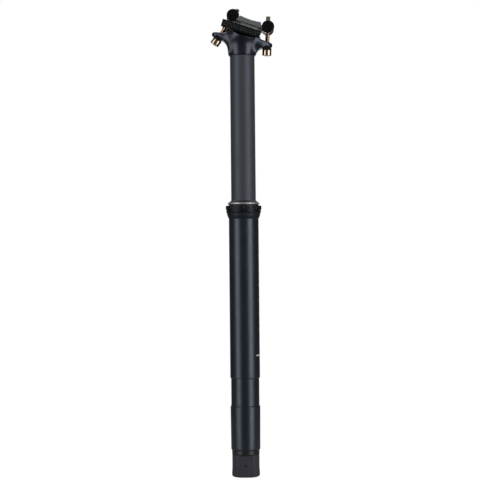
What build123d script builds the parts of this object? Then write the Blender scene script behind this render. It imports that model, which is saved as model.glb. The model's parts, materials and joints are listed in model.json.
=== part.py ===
"""Dropper seatpost, extended, in millimetres.

The origin is on the post's axis at the underside of the collar, where the top of the
frame's seat tube stops. +Z is up along the post and +X is forward, towards the bars.
"""

from build123d import *
import math
import os

os.makedirs("parts", exist_ok=True)

# Fits and clearances
running_clearance = 0.05
pivot_clearance = 0.08
part_gap = 0.3
overrun = 5.0
edge_break = 0.3

# Outer tube, which the frame clamps
outer_tube_diameter = 31.6
outer_tube_wall = 2.0
relief_depth = 0.85
relief_bottom_height = 47.2
relief_length = 28.7
lead_in_depth = 0.3
tube_end_round = 1.5
key_groove_depth = 0.5
key_groove_width = 3.2
key_groove_gap = 4.0

# Collar on top of the outer tube
collar_step = 3.15
collar_flare_height = 5.7
collar_flare_step = 2.1
collar_flare_mid_share = 0.6
collar_split = 0.6
collar_height = 14.0
spigot_step = 0.4
cap_band_height = 2.9
cap_band_step = 2.5
cap_groove_depth = 0.35
cap_groove_height = 0.5
cap_lip_thickness = 2.0
flute_count = 24
flute_radius = 1.3
flute_depth = 0.28
flute_margin = 0.7

# Upper bushing and wiper
bushing_length = 30.0
bushing_seat_wall = 1.2
bushing_top = 6.0
bushing_split = 0.9
wiper_neck_height = 1.6
wiper_neck_step = 1.2
wiper_ring_thickness = 1.4
wiper_ring_reach = 1.2
wiper_ring_inset = 1.4
wiper_cone_reach = 0.6
wiper_lip_height = 2.3
wiper_lip_width = 0.35
wiper_body_clearance = 0.4

# Stanchion, the tube that slides in the outer tube's bushings
travel = 150.0
slide_gap = 0.7
stanchion_wall = 1.4
stanchion_overlap = 83.3
dropped_gap = 3.7
bottom_out_gap = 0.5
lower_bushing_length = 18.0
lower_bushing_seat_depth = 0.25
lower_bushing_height = 4.0
key_length = 12.0
key_width = 3.0
key_pocket_depth = 0.55
key_height = 26.0
key_count = 3
snap_groove_depth = 0.6
snap_ring_height = 1.4
snap_ring_thickness = 1.2
snap_ring_width = 2.1
snap_ring_opening = 40.0

# Head, forged with two ears for the clamp bolts
neck_wall = 2.0
neck_socket_depth = 13.0
neck_chamfer_height = 2.6
neck_chamfer_width = 0.7
neck_flare_height = 10.5
neck_flare_top = 24.0
shoulder_step = 2.2
seat_height = 19.8
seat_radius = 34.0
seat_rear_reach = 13.5
seat_front_reach = 16.5
rear_flare_height = 5.5
rear_flare_radius = 13.0
rear_flare_angle = 66.0
front_flare_height = 1.0
front_flare_radius = 6.6
front_flare_angle = 80.0
ear_thickness = 7.0
ear_width = 16.0
ear_blend_radius = 9.0
ear_edge_round = 0.4
shoulder_edge_round = 0.8
# Points of each ear's side outline, forward and up from its bolt pivot, as shares of the
# ear's thickness: lower edge of the tip, tip, upper edge of the tip, root of the top.
rear_ear_shares = ((-0.66, 0.70), (-0.76, 1.01), (-0.48, 1.32), (1.22, 1.12))
front_ear_shares = ((0.71, 0.53), (0.85, 1.03), (0.65, 1.20), (-0.65, 1.60))

# Rail clamp
clamp_tilt = 18.5
rail_diameter = 7.0
rail_spacing = 44.0
rail_height = 10.8
rail_gap = 3.6
cradle_length = 42.0
cradle_offset = -2.9
cradle_wing_width = 10.0
cradle_wing_depth = 7.2
cradle_wing_round = 2.4
cradle_block_length = 30.0
cradle_block_width = 26.0
cradle_block_top = 8.4
cradle_web_bottom = 4.9
cradle_web_length = 27.0
cradle_notch_start = 12.6
wing_rib_pitch = 2.3
wing_rib_groove = 0.8
wing_rib_depth = 0.6
wing_rib_count = 2
upper_clamp_length = 28.0
upper_clamp_top_length = 22.0
upper_clamp_thickness = 5.7
upper_clamp_sag = 0.9
upper_clamp_wing_width = 10.4
upper_clamp_edge_round = 1.6
web_bottom = 12.1
hook_width = 19.0
hook_thickness = 1.4
hook_rise = 1.2
hook_overlap = 1.8

# Clamp bolts, half-moon washers and barrel nuts
barrel_spacing = 38.9
barrel_offset = 3.5
barrel_height = 17.8
barrel_diameter = 13.4
barrel_length = 25.0
barrel_waist_diameter = 10.2
barrel_edge_round = 0.6
bolt_splay = 15.85
rear_bolt_reach = 31.0
front_bolt_reach = 24.6
rear_tip_reach = 9.7
front_tip_reach = 12.4
bolt_diameter = 5.0
bolt_head_diameter = 9.7
bolt_head_height = 6.0
bolt_head_round = 0.6
bolt_tip_chamfer = 0.6
bolt_socket_size = 4.0
bolt_socket_depth = 3.6
thread_slack = 0.65
washer_radius = 4.9
washer_seat_height = 1.0
washer_length = 15.0
washer_hole_slack = 0.2
bolt_swing = 9.0
slot_slack = 0.4

# Gas and oil cartridge inside the stanchion
cylinder_gap = 0.5
cylinder_wall = 1.2
end_cap_flange = 6.0
end_cap_spigot = 6.0
fill_screw_diameter = 5.0
fill_screw_length = 4.5
fill_screw_socket = 2.5
fill_hole_diameter = 1.6
seal_head_flange = 8.0
seal_head_spigot = 6.0
rod_diameter = 8.0
rod_bore = 3.2
rod_seal_section = 1.4
rod_seal_height = 3.4
piston_height = 10.0
piston_rest_gap = 0.5
piston_band_height = 3.0
piston_band_depth = 1.0
piston_band_place = 3.4
piston_port_diameter = 2.0
piston_port_count = 4
rod_tip_diameter = 6.0
rod_tip_length = 3.5
poppet_recess = 3.0
poppet_recess_diameter = 6.8
poppet_diameter = 5.4
poppet_height = 2.4
floating_gap = 4.0
floating_height = 9.0
floating_cup_depth = 4.0
floating_cup_wall = 2.0
floating_seal_section = 1.5

# Base plug that closes the tube and holds the piston rod
plug_flange_height = 4.8
plug_flange_inset = 1.2
plug_flange_round = 0.9
plug_spigot_height = 8.0
plug_ring_section = 1.5
plug_ring_height = 3.6
bumper_height = 3.0
bumper_width = 4.2
rod_nut_size = 12.0
rod_nut_height = 3.4
rod_reach = 1.4

# Actuator housing and its cable lever
housing_inset = 1.35
housing_flare_step = 0.35
housing_flare_height = 9.0
housing_end_round = 1.9
housing_flat_depth = 2.45
cavity_width = 9.2
cavity_left = 6.5
cavity_wall = 1.95
cavity_depth = 6.7
cavity_floor = 5.5
nut_pocket_diameter = 15.0
nut_pocket_height = 4.8
window_left = 4.0
window_height = 14.0
pivot_diameter = 3.0
pivot_recess = 0.8
screw_place_x = 6.0
screw_place_y = 8.0
screw_diameter = 2.5
screw_head_diameter = 4.5
screw_head_height = 2.4
screw_recess = 0.6
screw_socket_size = 2.0
screw_grip = 4.0
cable_stop_diameter = 5.1
cable_stop_depth = 4.0
wire_hole_diameter = 1.8
hub_diameter = 5.2
lever_width = 7.2
cable_inset = 6.15
lever_arm_rest_angle = 15.0
lever_arm_width = 4.6
barrel_ring_diameter = 7.2
cable_barrel_diameter = 5.2
cable_barrel_length = 8.4
wire_slot_width = 2.4
wire_slot_length = 4.4
set_screw_diameter = 3.0
set_screw_length = 2.6
set_screw_socket = 1.5
pin_diameter = 2.6
cam_pitch_radius = 4.2
cam_lift_per_radian = 4.2
cam_gap = 0.25
cam_start_angle = -4.0
cam_end_angle = 35.0
cam_points = 7
pin_collar_diameter = 5.0
pin_collar_height = 1.0
pin_collar_place = 4.8
spring_wire = 0.45
spring_mean_diameter = 3.7
spring_turns = 3
spring_length = 4.0

# Radii worked out from the diameters
tube_radius = outer_tube_diameter / 2
bore_radius = tube_radius - outer_tube_wall
relief_radius = tube_radius - relief_depth
lead_in_radius = tube_radius - lead_in_depth
bushing_seat_radius = tube_radius - bushing_seat_wall
collar_radius = tube_radius + collar_step
flare_radius = tube_radius + collar_flare_step
spigot_radius = tube_radius + spigot_step
cap_band_radius = tube_radius + cap_band_step
wiper_neck_radius = bushing_seat_radius + wiper_neck_step
wiper_ring_seat_radius = wiper_neck_radius - wiper_ring_inset
stanchion_radius = bore_radius - slide_gap
stanchion_bore = stanchion_radius - stanchion_wall
neck_radius = stanchion_radius + neck_wall
shoulder_radius = neck_radius + shoulder_step
cylinder_radius = stanchion_bore - cylinder_gap
cylinder_bore = cylinder_radius - cylinder_wall
rod_radius = rod_diameter / 2
bolt_radius = bolt_diameter / 2
barrel_radius = barrel_diameter / 2
barrel_waist_radius = barrel_waist_diameter / 2
rail_radius = rail_diameter / 2
pin_radius = pin_diameter / 2
plug_flange_radius = tube_radius - plug_flange_inset
housing_radius = tube_radius - housing_inset
housing_foot_radius = housing_radius + housing_flare_step
cavity_right = housing_radius - cavity_wall
cable_x = housing_radius - cable_inset

# Heights worked out from the lengths
stanchion_bottom = -stanchion_overlap
bumper_top = stanchion_bottom - travel - bottom_out_gap
plug_top = bumper_top - bumper_height
tube_bottom = plug_top - plug_spigot_height
relief_bottom = tube_bottom + relief_bottom_height
relief_top = relief_bottom + relief_length
bushing_bottom = bushing_top - bushing_length
spigot_top = collar_height - cap_lip_thickness
wiper_ring_bottom = collar_height + wiper_neck_height
wiper_ring_top = wiper_ring_bottom + wiper_ring_thickness
wiper_tip = wiper_ring_top + wiper_lip_height
neck_bottom = wiper_tip + dropped_gap + travel
stanchion_top = neck_bottom + neck_socket_depth
lower_bushing_bottom = stanchion_bottom + lower_bushing_height
key_bottom = stanchion_bottom + key_height
snap_ring_bottom = stanchion_bottom + snap_ring_height
seal_head_bottom = snap_ring_bottom + snap_ring_thickness
cylinder_bottom = seal_head_bottom + seal_head_flange
seal_head_top = cylinder_bottom + seal_head_spigot
piston_bottom = seal_head_top + piston_rest_gap
piston_top = piston_bottom + piston_height
floating_bottom = piston_top + travel + floating_gap
end_cap_top = stanchion_top
cylinder_top = end_cap_top - end_cap_flange
flange_bottom = tube_bottom - plug_flange_height
nut_bottom = flange_bottom - rod_nut_height
rod_bottom = flange_bottom - rod_reach
pin_collar_top = rod_bottom - spring_length
pin_collar_bottom = pin_collar_top - pin_collar_height
pivot_z = pin_collar_bottom - pin_collar_place
cavity_bottom = pivot_z - cavity_depth
housing_bottom = cavity_bottom - cavity_floor

# The clamp's own frame: its origin is the middle of the head's seat, its first axis runs
# forward along the saddle rails and its second axis is the clamp's upward normal.
tilt_cos = math.cos(math.radians(clamp_tilt))
tilt_sin = math.sin(math.radians(clamp_tilt))
seat_z = neck_bottom + seat_height
rail_side = Plane(origin=(0, 0, seat_z), x_dir=(tilt_cos, 0, -tilt_sin), z_dir=(0, -1, 0))
rail_end = Plane(origin=(0, 0, seat_z), x_dir=(0, 1, 0), z_dir=(tilt_cos, 0, -tilt_sin))


def clamp_point(along, up):
    """Place in the XZ plane of a point given along the rails and up the clamp's normal."""
    return (along * tilt_cos + up * tilt_sin, seat_z - along * tilt_sin + up * tilt_cos)


def seat_rise(along):
    """Height of the seat's arc above its middle, along the rails."""
    return seat_radius - math.sqrt(seat_radius**2 - along**2)


splay_sin = math.sin(math.radians(bolt_splay))
splay_cos = math.cos(math.radians(bolt_splay))
bolt_sides = []
for side, way, reach, tip_reach in (
    ("rear", 1, rear_bolt_reach, rear_tip_reach),
    ("front", -1, front_bolt_reach, front_tip_reach),
):
    barrel_at = (barrel_offset - way * barrel_spacing / 2, barrel_height)
    pivot_at = (barrel_at[0] - way * reach * splay_sin, barrel_at[1] - reach * splay_cos)
    lean = math.radians(clamp_tilt + way * bolt_splay)
    bolt_sides.append(
        {
            "side": side,
            "way": way,
            "reach": reach,
            "tip_reach": tip_reach,
            "barrel": clamp_point(*barrel_at),
            "barrel_along": barrel_at[0],
            "pivot": clamp_point(*pivot_at),
            "axis": (math.sin(lean), 0, math.cos(lean)),
        }
    )
rear_bolt_side, front_bolt_side = bolt_sides

# Outer tube: turned outside with the collar flare and a relief, bored for the bushing
flare_mid = (
    tube_radius + (flare_radius - tube_radius) * collar_flare_mid_share,
    (collar_flare_height - edge_break) / 2,
)
relief_slope = tube_radius - relief_radius
groove_top = bushing_bottom - key_groove_gap
with BuildPart() as outer_tube:
    with BuildSketch(Plane.XZ):
        with BuildLine():
            Polyline(
                (flare_radius, collar_flare_height - edge_break),
                (flare_radius - edge_break, collar_flare_height),
                (spigot_radius, collar_flare_height),
                (spigot_radius, spigot_top),
                (bushing_seat_radius, spigot_top),
                (bushing_seat_radius, bushing_bottom),
                (bore_radius, bushing_bottom),
                (bore_radius, tube_bottom),
                (lead_in_radius - tube_end_round, tube_bottom),
            )
            RadiusArc(
                (lead_in_radius - tube_end_round, tube_bottom),
                (lead_in_radius, tube_bottom + tube_end_round),
                -tube_end_round,
            )
            Polyline(
                (lead_in_radius, tube_bottom + tube_end_round),
                (tube_radius, relief_bottom - relief_slope),
                (relief_radius, relief_bottom),
                (relief_radius, relief_top),
                (tube_radius, relief_top + relief_slope),
                (tube_radius, 0),
            )
            ThreePointArc(
                (tube_radius, 0),
                flare_mid,
                (flare_radius, collar_flare_height - edge_break),
            )
        make_face()
    revolve(axis=Axis.Z)
    with BuildSketch(Plane.XY.offset(tube_bottom - overrun)):
        with PolarLocations(bore_radius, key_count, start_angle=90):
            Rectangle(2 * key_groove_depth, key_groove_width)
    extrude(amount=groove_top - tube_bottom + overrun, mode=Mode.SUBTRACT)
outer_tube.part.label = "outer_tube"
export_step(outer_tube.part, "parts/outer_tube.step")

# Collar cap: screwed over the tube's spigot, with a fluted grip band
cap_bottom = collar_flare_height + collar_split
band_top = cap_bottom + cap_band_height
grip_bottom = band_top + cap_groove_height
groove_radius = cap_band_radius - cap_groove_depth
with BuildPart() as collar_cap:
    with BuildSketch(Plane.XZ):
        with BuildLine():
            Polyline(
                (cap_band_radius, band_top),
                (groove_radius, band_top),
                (groove_radius, grip_bottom),
                (collar_radius, grip_bottom),
                (collar_radius, collar_height - edge_break),
                (collar_radius - edge_break, collar_height),
                (bushing_seat_radius, collar_height),
                (bushing_seat_radius, spigot_top),
                (spigot_radius, spigot_top),
                (spigot_radius, cap_bottom),
                (flare_radius, cap_bottom),
            )
            RadiusArc(
                (flare_radius, cap_bottom), (cap_band_radius, band_top), -cap_band_height
            )
        make_face()
    revolve(axis=Axis.Z)
    with BuildSketch(Plane.XY.offset(grip_bottom + flute_margin)):
        with PolarLocations(collar_radius + flute_radius - flute_depth, flute_count):
            Circle(flute_radius)
    extrude(amount=collar_height - grip_bottom - 2 * flute_margin, mode=Mode.SUBTRACT)
collar_cap.part.label = "collar_cap"
export_step(collar_cap.part, "parts/collar_cap.step")

# Upper bushing: a split sleeve pressed into the tube's top, which guides the stanchion
with BuildPart() as upper_bushing:
    with BuildSketch(Plane.XY.offset(bushing_bottom)):
        Circle(bushing_seat_radius)
        Circle(stanchion_radius + running_clearance, mode=Mode.SUBTRACT)
        with Locations((0, bushing_seat_radius)):
            Rectangle(bushing_split, 4 * bushing_seat_wall, mode=Mode.SUBTRACT)
    extrude(amount=bushing_length)
upper_bushing.part.label = "upper_bushing"
export_step(upper_bushing.part, "parts/upper_bushing.step")

# Wiper seal: one rubber turning whose lip hugs the stanchion, grooved for its ring
lip_radius = stanchion_radius + running_clearance
with BuildPart() as wiper_seal:
    with BuildSketch(Plane.XZ):
        with BuildLine():
            Polyline(
                (bushing_seat_radius, bushing_top),
                (bushing_seat_radius, collar_height),
                (wiper_neck_radius, collar_height),
                (wiper_neck_radius, wiper_ring_bottom),
                (wiper_ring_seat_radius, wiper_ring_bottom),
                (wiper_ring_seat_radius, wiper_ring_top),
                (wiper_neck_radius + wiper_cone_reach, wiper_ring_top),
                (lip_radius + wiper_lip_width, wiper_tip),
                (lip_radius, wiper_tip),
                (stanchion_radius + wiper_body_clearance, wiper_ring_top),
                (stanchion_radius + wiper_body_clearance, bushing_top),
                close=True,
            )
        make_face()
    revolve(axis=Axis.Z)
wiper_seal.part.label = "wiper_seal"
export_step(wiper_seal.part, "parts/wiper_seal.step")

# Wiper ring: the pale metal ring that keeps the lip round
with BuildPart() as wiper_ring:
    with BuildSketch(Plane.XY.offset(wiper_ring_bottom)):
        Circle(wiper_neck_radius + wiper_ring_reach)
        Circle(wiper_ring_seat_radius, mode=Mode.SUBTRACT)
    extrude(amount=wiper_ring_thickness)
    fillet(
        wiper_ring.edges().filter_by(GeomType.CIRCLE).group_by(SortBy.RADIUS)[-1], edge_break
    )
wiper_ring.part.label = "wiper_ring"
export_step(wiper_ring.part, "parts/wiper_ring.step")

# Stanchion tube: bonded in the head, with seats for its bushing, keys and snap ring
lower_bushing_seat = stanchion_radius - lower_bushing_seat_depth
snap_groove_radius = stanchion_bore + snap_groove_depth
with BuildPart() as stanchion_tube:
    with BuildSketch(Plane.XZ):
        with BuildLine():
            Polyline(
                (stanchion_bore, stanchion_bottom),
                (stanchion_radius, stanchion_bottom),
                (stanchion_radius, lower_bushing_bottom),
                (lower_bushing_seat, lower_bushing_bottom),
                (lower_bushing_seat, lower_bushing_bottom + lower_bushing_length),
                (stanchion_radius, lower_bushing_bottom + lower_bushing_length),
                (stanchion_radius, stanchion_top),
                (stanchion_bore, stanchion_top),
                (stanchion_bore, seal_head_bottom),
                (snap_groove_radius, seal_head_bottom),
                (snap_groove_radius, snap_ring_bottom),
                (stanchion_bore, snap_ring_bottom),
                close=True,
            )
        make_face()
    revolve(axis=Axis.Z)
    with BuildSketch(Plane.XY.offset(key_bottom)):
        with PolarLocations(stanchion_radius, key_count, start_angle=90):
            Rectangle(2 * key_pocket_depth, key_width)
    extrude(amount=key_length, mode=Mode.SUBTRACT)
stanchion_tube.part.label = "stanchion_tube"
export_step(stanchion_tube.part, "parts/stanchion_tube.step")

# Lower bushing: a split sleeve in its seat on the stanchion, sliding in the outer tube
with BuildPart() as lower_bushing:
    with BuildSketch(Plane.XY.offset(lower_bushing_bottom)):
        Circle(bore_radius - running_clearance)
        Circle(lower_bushing_seat, mode=Mode.SUBTRACT)
        with Locations((0, bore_radius)):
            Rectangle(bushing_split, 2 * outer_tube_wall, mode=Mode.SUBTRACT)
    extrude(amount=lower_bushing_length)
lower_bushing.part.label = "lower_bushing"
export_step(lower_bushing.part, "parts/lower_bushing.step")

# Anti-rotation keys: three brass slides that run in the outer tube's grooves
key_inner = stanchion_radius - key_pocket_depth
key_outer = bore_radius + key_groove_depth - running_clearance
with BuildPart() as anti_rotation_keys:
    with BuildSketch(Plane.XY.offset(key_bottom)):
        with PolarLocations((key_inner + key_outer) / 2, key_count, start_angle=90):
            Rectangle(key_outer - key_inner, key_width)
    extrude(amount=key_length)
anti_rotation_keys.part.label = "anti_rotation_keys"
export_step(anti_rotation_keys.part, "parts/anti_rotation_keys.step")

# Head: first its plan, a round neck that swells to the shoulders and carries two ears
head_top = neck_bottom + neck_flare_top
rear_tip_x = rear_bolt_side["pivot"][0] + rear_ear_shares[1][0] * ear_thickness
front_tip_x = front_bolt_side["pivot"][0] + front_ear_shares[1][0] * ear_thickness
with BuildPart() as head_plan:
    with BuildSketch(Plane.XZ):
        with BuildLine():
            Polyline(
                (shoulder_radius, head_top),
                (shoulder_radius, head_top + ear_thickness),
                (0, head_top + ear_thickness),
                (0, neck_bottom),
                (neck_radius - neck_chamfer_width, neck_bottom),
                (neck_radius, neck_bottom + neck_chamfer_height),
                (neck_radius, neck_bottom + neck_flare_height),
            )
            Spline(
                (neck_radius, neck_bottom + neck_flare_height),
                (shoulder_radius, head_top),
                tangents=((0, 1), (0, 1)),
            )
        make_face()
    revolve(axis=Axis.Z)
    with BuildSketch(Plane.XY.offset(neck_bottom + neck_chamfer_height)):
        with Locations(((rear_tip_x + front_tip_x) / 2, 0)):
            SlotOverall(front_tip_x - rear_tip_x, ear_width)
        Circle(neck_radius)
        fillet(vertices().sort_by_distance((0, 0))[:4], ear_blend_radius)
    extrude(amount=neck_flare_top + ear_thickness - neck_chamfer_height)

# Then its side outline: flares under the ears, the ears and the round seat between them
rear_ear, front_ear = [
    [
        (
            bolt_side["pivot"][0] + along * ear_thickness,
            bolt_side["pivot"][1] + up * ear_thickness,
        )
        for along, up in shares
    ]
    for bolt_side, shares in zip(bolt_sides, (rear_ear_shares, front_ear_shares))
]
rear_turn = math.radians(rear_flare_angle)
front_turn = math.radians(front_flare_angle)
rear_flare_z = neck_bottom + rear_flare_height
front_flare_z = neck_bottom + front_flare_height
rear_flare = [
    (
        -neck_radius - rear_flare_radius * (1 - math.cos(turn)),
        rear_flare_z + rear_flare_radius * math.sin(turn),
    )
    for turn in (0, rear_turn / 2, rear_turn)
]
front_flare = [
    (
        neck_radius + front_flare_radius * (1 - math.cos(turn)),
        front_flare_z + front_flare_radius * math.sin(turn),
    )
    for turn in (0, front_turn / 2, front_turn)
]
seat_rear = clamp_point(-seat_rear_reach, seat_rise(seat_rear_reach))
seat_front = clamp_point(seat_front_reach, seat_rise(seat_front_reach))
with BuildPart() as head:
    with BuildSketch(Plane.XZ):
        with BuildLine():
            Polyline((-neck_radius, neck_bottom), rear_flare[0])
            ThreePointArc(*rear_flare)
            Line(rear_flare[2], rear_ear[0])
            ThreePointArc(*rear_ear[:3])
            Polyline(rear_ear[2], rear_ear[3], seat_rear)
            ThreePointArc(seat_rear, clamp_point(0, 0), seat_front)
            Polyline(seat_front, front_ear[3], front_ear[2])
            ThreePointArc(front_ear[2], front_ear[1], front_ear[0])
            Line(front_ear[0], front_flare[2])
            ThreePointArc(front_flare[2], front_flare[1], front_flare[0])
            Polyline(front_flare[0], (neck_radius, neck_bottom), (-neck_radius, neck_bottom))
        make_face()
    extrude(amount=2 * shoulder_radius, both=True)
    add(head_plan.part, mode=Mode.INTERSECT)
    ear_edges = head.edges().filter_by(GeomType.ELLIPSE).sort_by(SortBy.LENGTH)[-8:]
    fillet(ear_edges, ear_edge_round)
    shoulder_edges = head.edges().filter_by(GeomType.BSPLINE).sort_by(SortBy.LENGTH)[-2:]
    fillet(shoulder_edges, shoulder_edge_round)
    # Socket for the stanchion, then a trough and a flared bolt hole through each ear
    with BuildSketch(Plane.XY.offset(neck_bottom - overrun)):
        Circle(stanchion_radius)
    extrude(amount=neck_socket_depth + overrun, mode=Mode.SUBTRACT)
    for bolt_side in bolt_sides:
        pivot = (bolt_side["pivot"][0], 0, bolt_side["pivot"][1])
        with BuildSketch(Plane(origin=pivot, x_dir=(1, 0, 0), z_dir=(0, -1, 0))):
            Circle(washer_radius + pivot_clearance)
        extrude(amount=ear_width, both=True, mode=Mode.SUBTRACT)
        with BuildSketch(Plane(origin=pivot, x_dir=(0, 1, 0), z_dir=bolt_side["axis"])):
            Circle(bolt_radius + slot_slack)
        extrude(amount=2 * ear_thickness, taper=-bolt_swing, mode=Mode.SUBTRACT)
head.part.label = "head"
export_step(head.part, "parts/head.step")

# Cradle: the clamp's lower half, a round-bellied block with a grooved wing on each side
wing_top = rail_height - rail_gap / 2
wing_bottom = wing_top - cradle_wing_depth
wing_outer = rail_spacing / 2 + cradle_wing_width / 2
belly_radius = seat_radius - part_gap
block_half = cradle_block_length / 2
belly_rise = seat_radius - math.sqrt(belly_radius**2 - block_half**2)
rib_places = [
    (side * wing_outer, wing_bottom + (row + 1) * wing_rib_pitch)
    for side in (-1, 1)
    for row in range(wing_rib_count)
]
with BuildPart() as cradle:
    with BuildSketch(rail_side):
        with BuildLine():
            ThreePointArc((-block_half, belly_rise), (0, part_gap), (block_half, belly_rise))
            Polyline(
                (block_half, belly_rise),
                (block_half, cradle_block_top),
                (-block_half, cradle_block_top),
                (-block_half, belly_rise),
            )
        make_face()
    extrude(amount=cradle_block_width / 2, both=True)
    with BuildSketch(rail_side):
        with Locations((0, (cradle_web_bottom + cradle_block_top) / 2)):
            Rectangle(cradle_web_length, cradle_block_top - cradle_web_bottom)
    extrude(amount=rail_spacing / 2, both=True)
    with BuildSketch(rail_end.offset(cradle_offset - cradle_length / 2)):
        with Locations(
            (-rail_spacing / 2, (wing_bottom + wing_top) / 2),
            (rail_spacing / 2, (wing_bottom + wing_top) / 2),
        ):
            Rectangle(cradle_wing_width, cradle_wing_depth)
        fillet(vertices().group_by(Axis.Y)[0], cradle_wing_round)
        with Locations(*rib_places):
            Rectangle(2 * wing_rib_depth, wing_rib_groove, mode=Mode.SUBTRACT)
    extrude(amount=cradle_length)
    with BuildSketch(rail_end.offset(cradle_offset - cradle_length / 2 - overrun)):
        with Locations((-rail_spacing / 2, rail_height), (rail_spacing / 2, rail_height)):
            Circle(rail_radius)
    extrude(amount=cradle_length + 2 * overrun, mode=Mode.SUBTRACT)
    with BuildSketch(rail_side):
        with Locations((-cradle_notch_start - block_half, cradle_block_top / 2)):
            Rectangle(cradle_block_length, cradle_block_top + 2 * overrun)
    extrude(amount=bolt_radius + 2 * slot_slack, both=True, mode=Mode.SUBTRACT)
cradle.part.label = "cradle"
export_step(cradle.part, "parts/cradle.step")

# Upper clamp: one plate over both rails, hollowed for a barrel nut at each end, with two
# prongs that reach under the waist of each nut, one on each side of its bolt
plate_bottom = rail_height + rail_gap / 2
plate_top = plate_bottom + upper_clamp_thickness
plate_half = upper_clamp_length / 2
plate_top_half = upper_clamp_top_length / 2
plate_side = rail_spacing / 2 + upper_clamp_wing_width / 2
web_top = plate_top - upper_clamp_sag
seat_bore = barrel_radius + pivot_clearance
waist_bore = barrel_waist_radius + pivot_clearance
hook_radius = waist_bore + hook_thickness
bridge_length = seat_bore + 2 * hook_thickness
bolt_notch = bolt_radius + 2 * slot_slack
with BuildPart() as upper_clamp:
    with BuildSketch(rail_side):
        with BuildLine():
            Polyline(
                (barrel_offset - plate_top_half, plate_top),
                (barrel_offset - plate_half, plate_bottom),
                (barrel_offset + plate_half, plate_bottom),
                (barrel_offset + plate_top_half, plate_top),
            )
            ThreePointArc(
                (barrel_offset + plate_top_half, plate_top),
                (barrel_offset, web_top),
                (barrel_offset - plate_top_half, plate_top),
            )
        make_face()
    extrude(amount=plate_side, both=True)
    fillet(upper_clamp.edges().filter_by(GeomType.CIRCLE), upper_clamp_edge_round)
    for bolt_side in bolt_sides:
        inward = bolt_side["way"]
        along = bolt_side["barrel_along"]
        with BuildSketch(rail_side):
            with Locations((along, barrel_height)):
                Circle(seat_bore)
        extrude(amount=plate_side, both=True, mode=Mode.SUBTRACT)
        with BuildSketch(rail_side):
            with Locations((along, barrel_height)):
                Circle(hook_radius)
            with Locations(
                (
                    along + inward * (hook_radius - hook_overlap) / 2,
                    barrel_height + (hook_rise - hook_radius) / 2,
                )
            ):
                Rectangle(hook_radius + hook_overlap, hook_radius + hook_rise, mode=Mode.INTERSECT)
            with Locations((along + inward * bridge_length / 2, (web_bottom + web_top) / 2)):
                Rectangle(bridge_length, web_top - web_bottom)
            with Locations((along, barrel_height)):
                Circle(waist_bore, mode=Mode.SUBTRACT)
        extrude(amount=hook_width / 2, both=True)
        with BuildSketch(rail_side):
            with Locations(
                (along + inward * (bolt_notch - hook_radius), barrel_height - hook_radius)
            ):
                Rectangle(2 * hook_radius, 2 * hook_radius)
        extrude(amount=bolt_notch, both=True, mode=Mode.SUBTRACT)
    with BuildSketch(rail_end.offset(barrel_offset - plate_half - overrun)):
        with Locations((-rail_spacing / 2, rail_height), (rail_spacing / 2, rail_height)):
            Circle(rail_radius)
    extrude(amount=upper_clamp_length + 2 * overrun, mode=Mode.SUBTRACT)
upper_clamp.part.label = "upper_clamp"
export_step(upper_clamp.part, "parts/upper_clamp.step")

# Barrel nut, clamp bolt and half-moon washer, once at the rear and once at the front
waist_half = hook_width / 2 + part_gap
for bolt_side in bolt_sides:
    side = bolt_side["side"]
    pivot = (bolt_side["pivot"][0], 0, bolt_side["pivot"][1])
    barrel_centre = (bolt_side["barrel"][0], 0, bolt_side["barrel"][1])
    along_bolt = bolt_side["axis"]
    across_bolt = (along_bolt[2], 0, -along_bolt[0])
    with BuildPart() as barrel_nut:
        with BuildSketch(Plane(origin=barrel_centre, x_dir=(1, 0, 0), z_dir=(0, -1, 0))):
            Circle(barrel_radius)
        extrude(amount=barrel_length / 2, both=True)
        fillet(barrel_nut.edges().filter_by(GeomType.CIRCLE), barrel_edge_round)
        with BuildSketch(Plane(origin=barrel_centre, x_dir=(1, 0, 0), z_dir=(0, -1, 0))):
            Circle(barrel_radius)
            Circle(barrel_waist_radius, mode=Mode.SUBTRACT)
        extrude(amount=waist_half, both=True, mode=Mode.SUBTRACT)
        with BuildSketch(Plane(origin=barrel_centre, x_dir=(0, 1, 0), z_dir=along_bolt)):
            Circle(bolt_radius + thread_slack)
        extrude(amount=barrel_diameter, both=True, mode=Mode.SUBTRACT)
    barrel_nut.part.label = f"{side}_barrel_nut"
    export_step(barrel_nut.part, f"parts/{side}_barrel_nut.step")

    bolt_seat = Plane(origin=pivot, x_dir=(0, 1, 0), z_dir=along_bolt).offset(washer_seat_height)
    with BuildPart() as clamp_bolt:
        with BuildSketch(bolt_seat):
            Circle(bolt_radius)
        extrude(amount=bolt_side["reach"] - washer_seat_height + bolt_side["tip_reach"])
        chamfer(clamp_bolt.edges().sort_by(Axis(pivot, along_bolt))[-1], bolt_tip_chamfer)
        with BuildSketch(bolt_seat):
            Circle(bolt_head_diameter / 2)
        extrude(amount=-bolt_head_height)
        fillet(clamp_bolt.edges().sort_by(Axis(pivot, along_bolt))[0], bolt_head_round)
        with BuildSketch(bolt_seat.offset(-bolt_head_height)):
            RegularPolygon(bolt_socket_size / 2, 6, major_radius=False)
        extrude(amount=bolt_socket_depth, mode=Mode.SUBTRACT)
    clamp_bolt.part.label = f"{side}_bolt"
    export_step(clamp_bolt.part, f"parts/{side}_bolt.step")

    with BuildPart() as half_moon:
        with BuildSketch(Plane(origin=pivot, x_dir=across_bolt, z_dir=(0, -1, 0))):
            Circle(washer_radius)
            with Locations((0, washer_seat_height - washer_radius)):
                Rectangle(2 * washer_radius, 2 * washer_radius, mode=Mode.SUBTRACT)
        extrude(amount=washer_length / 2, both=True)
        with BuildSketch(bolt_seat):
            Circle(bolt_radius + washer_hole_slack)
        extrude(amount=2 * washer_radius, mode=Mode.SUBTRACT)
    half_moon.part.label = f"{side}_half_moon"
    export_step(half_moon.part, f"parts/{side}_half_moon.step")

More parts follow.
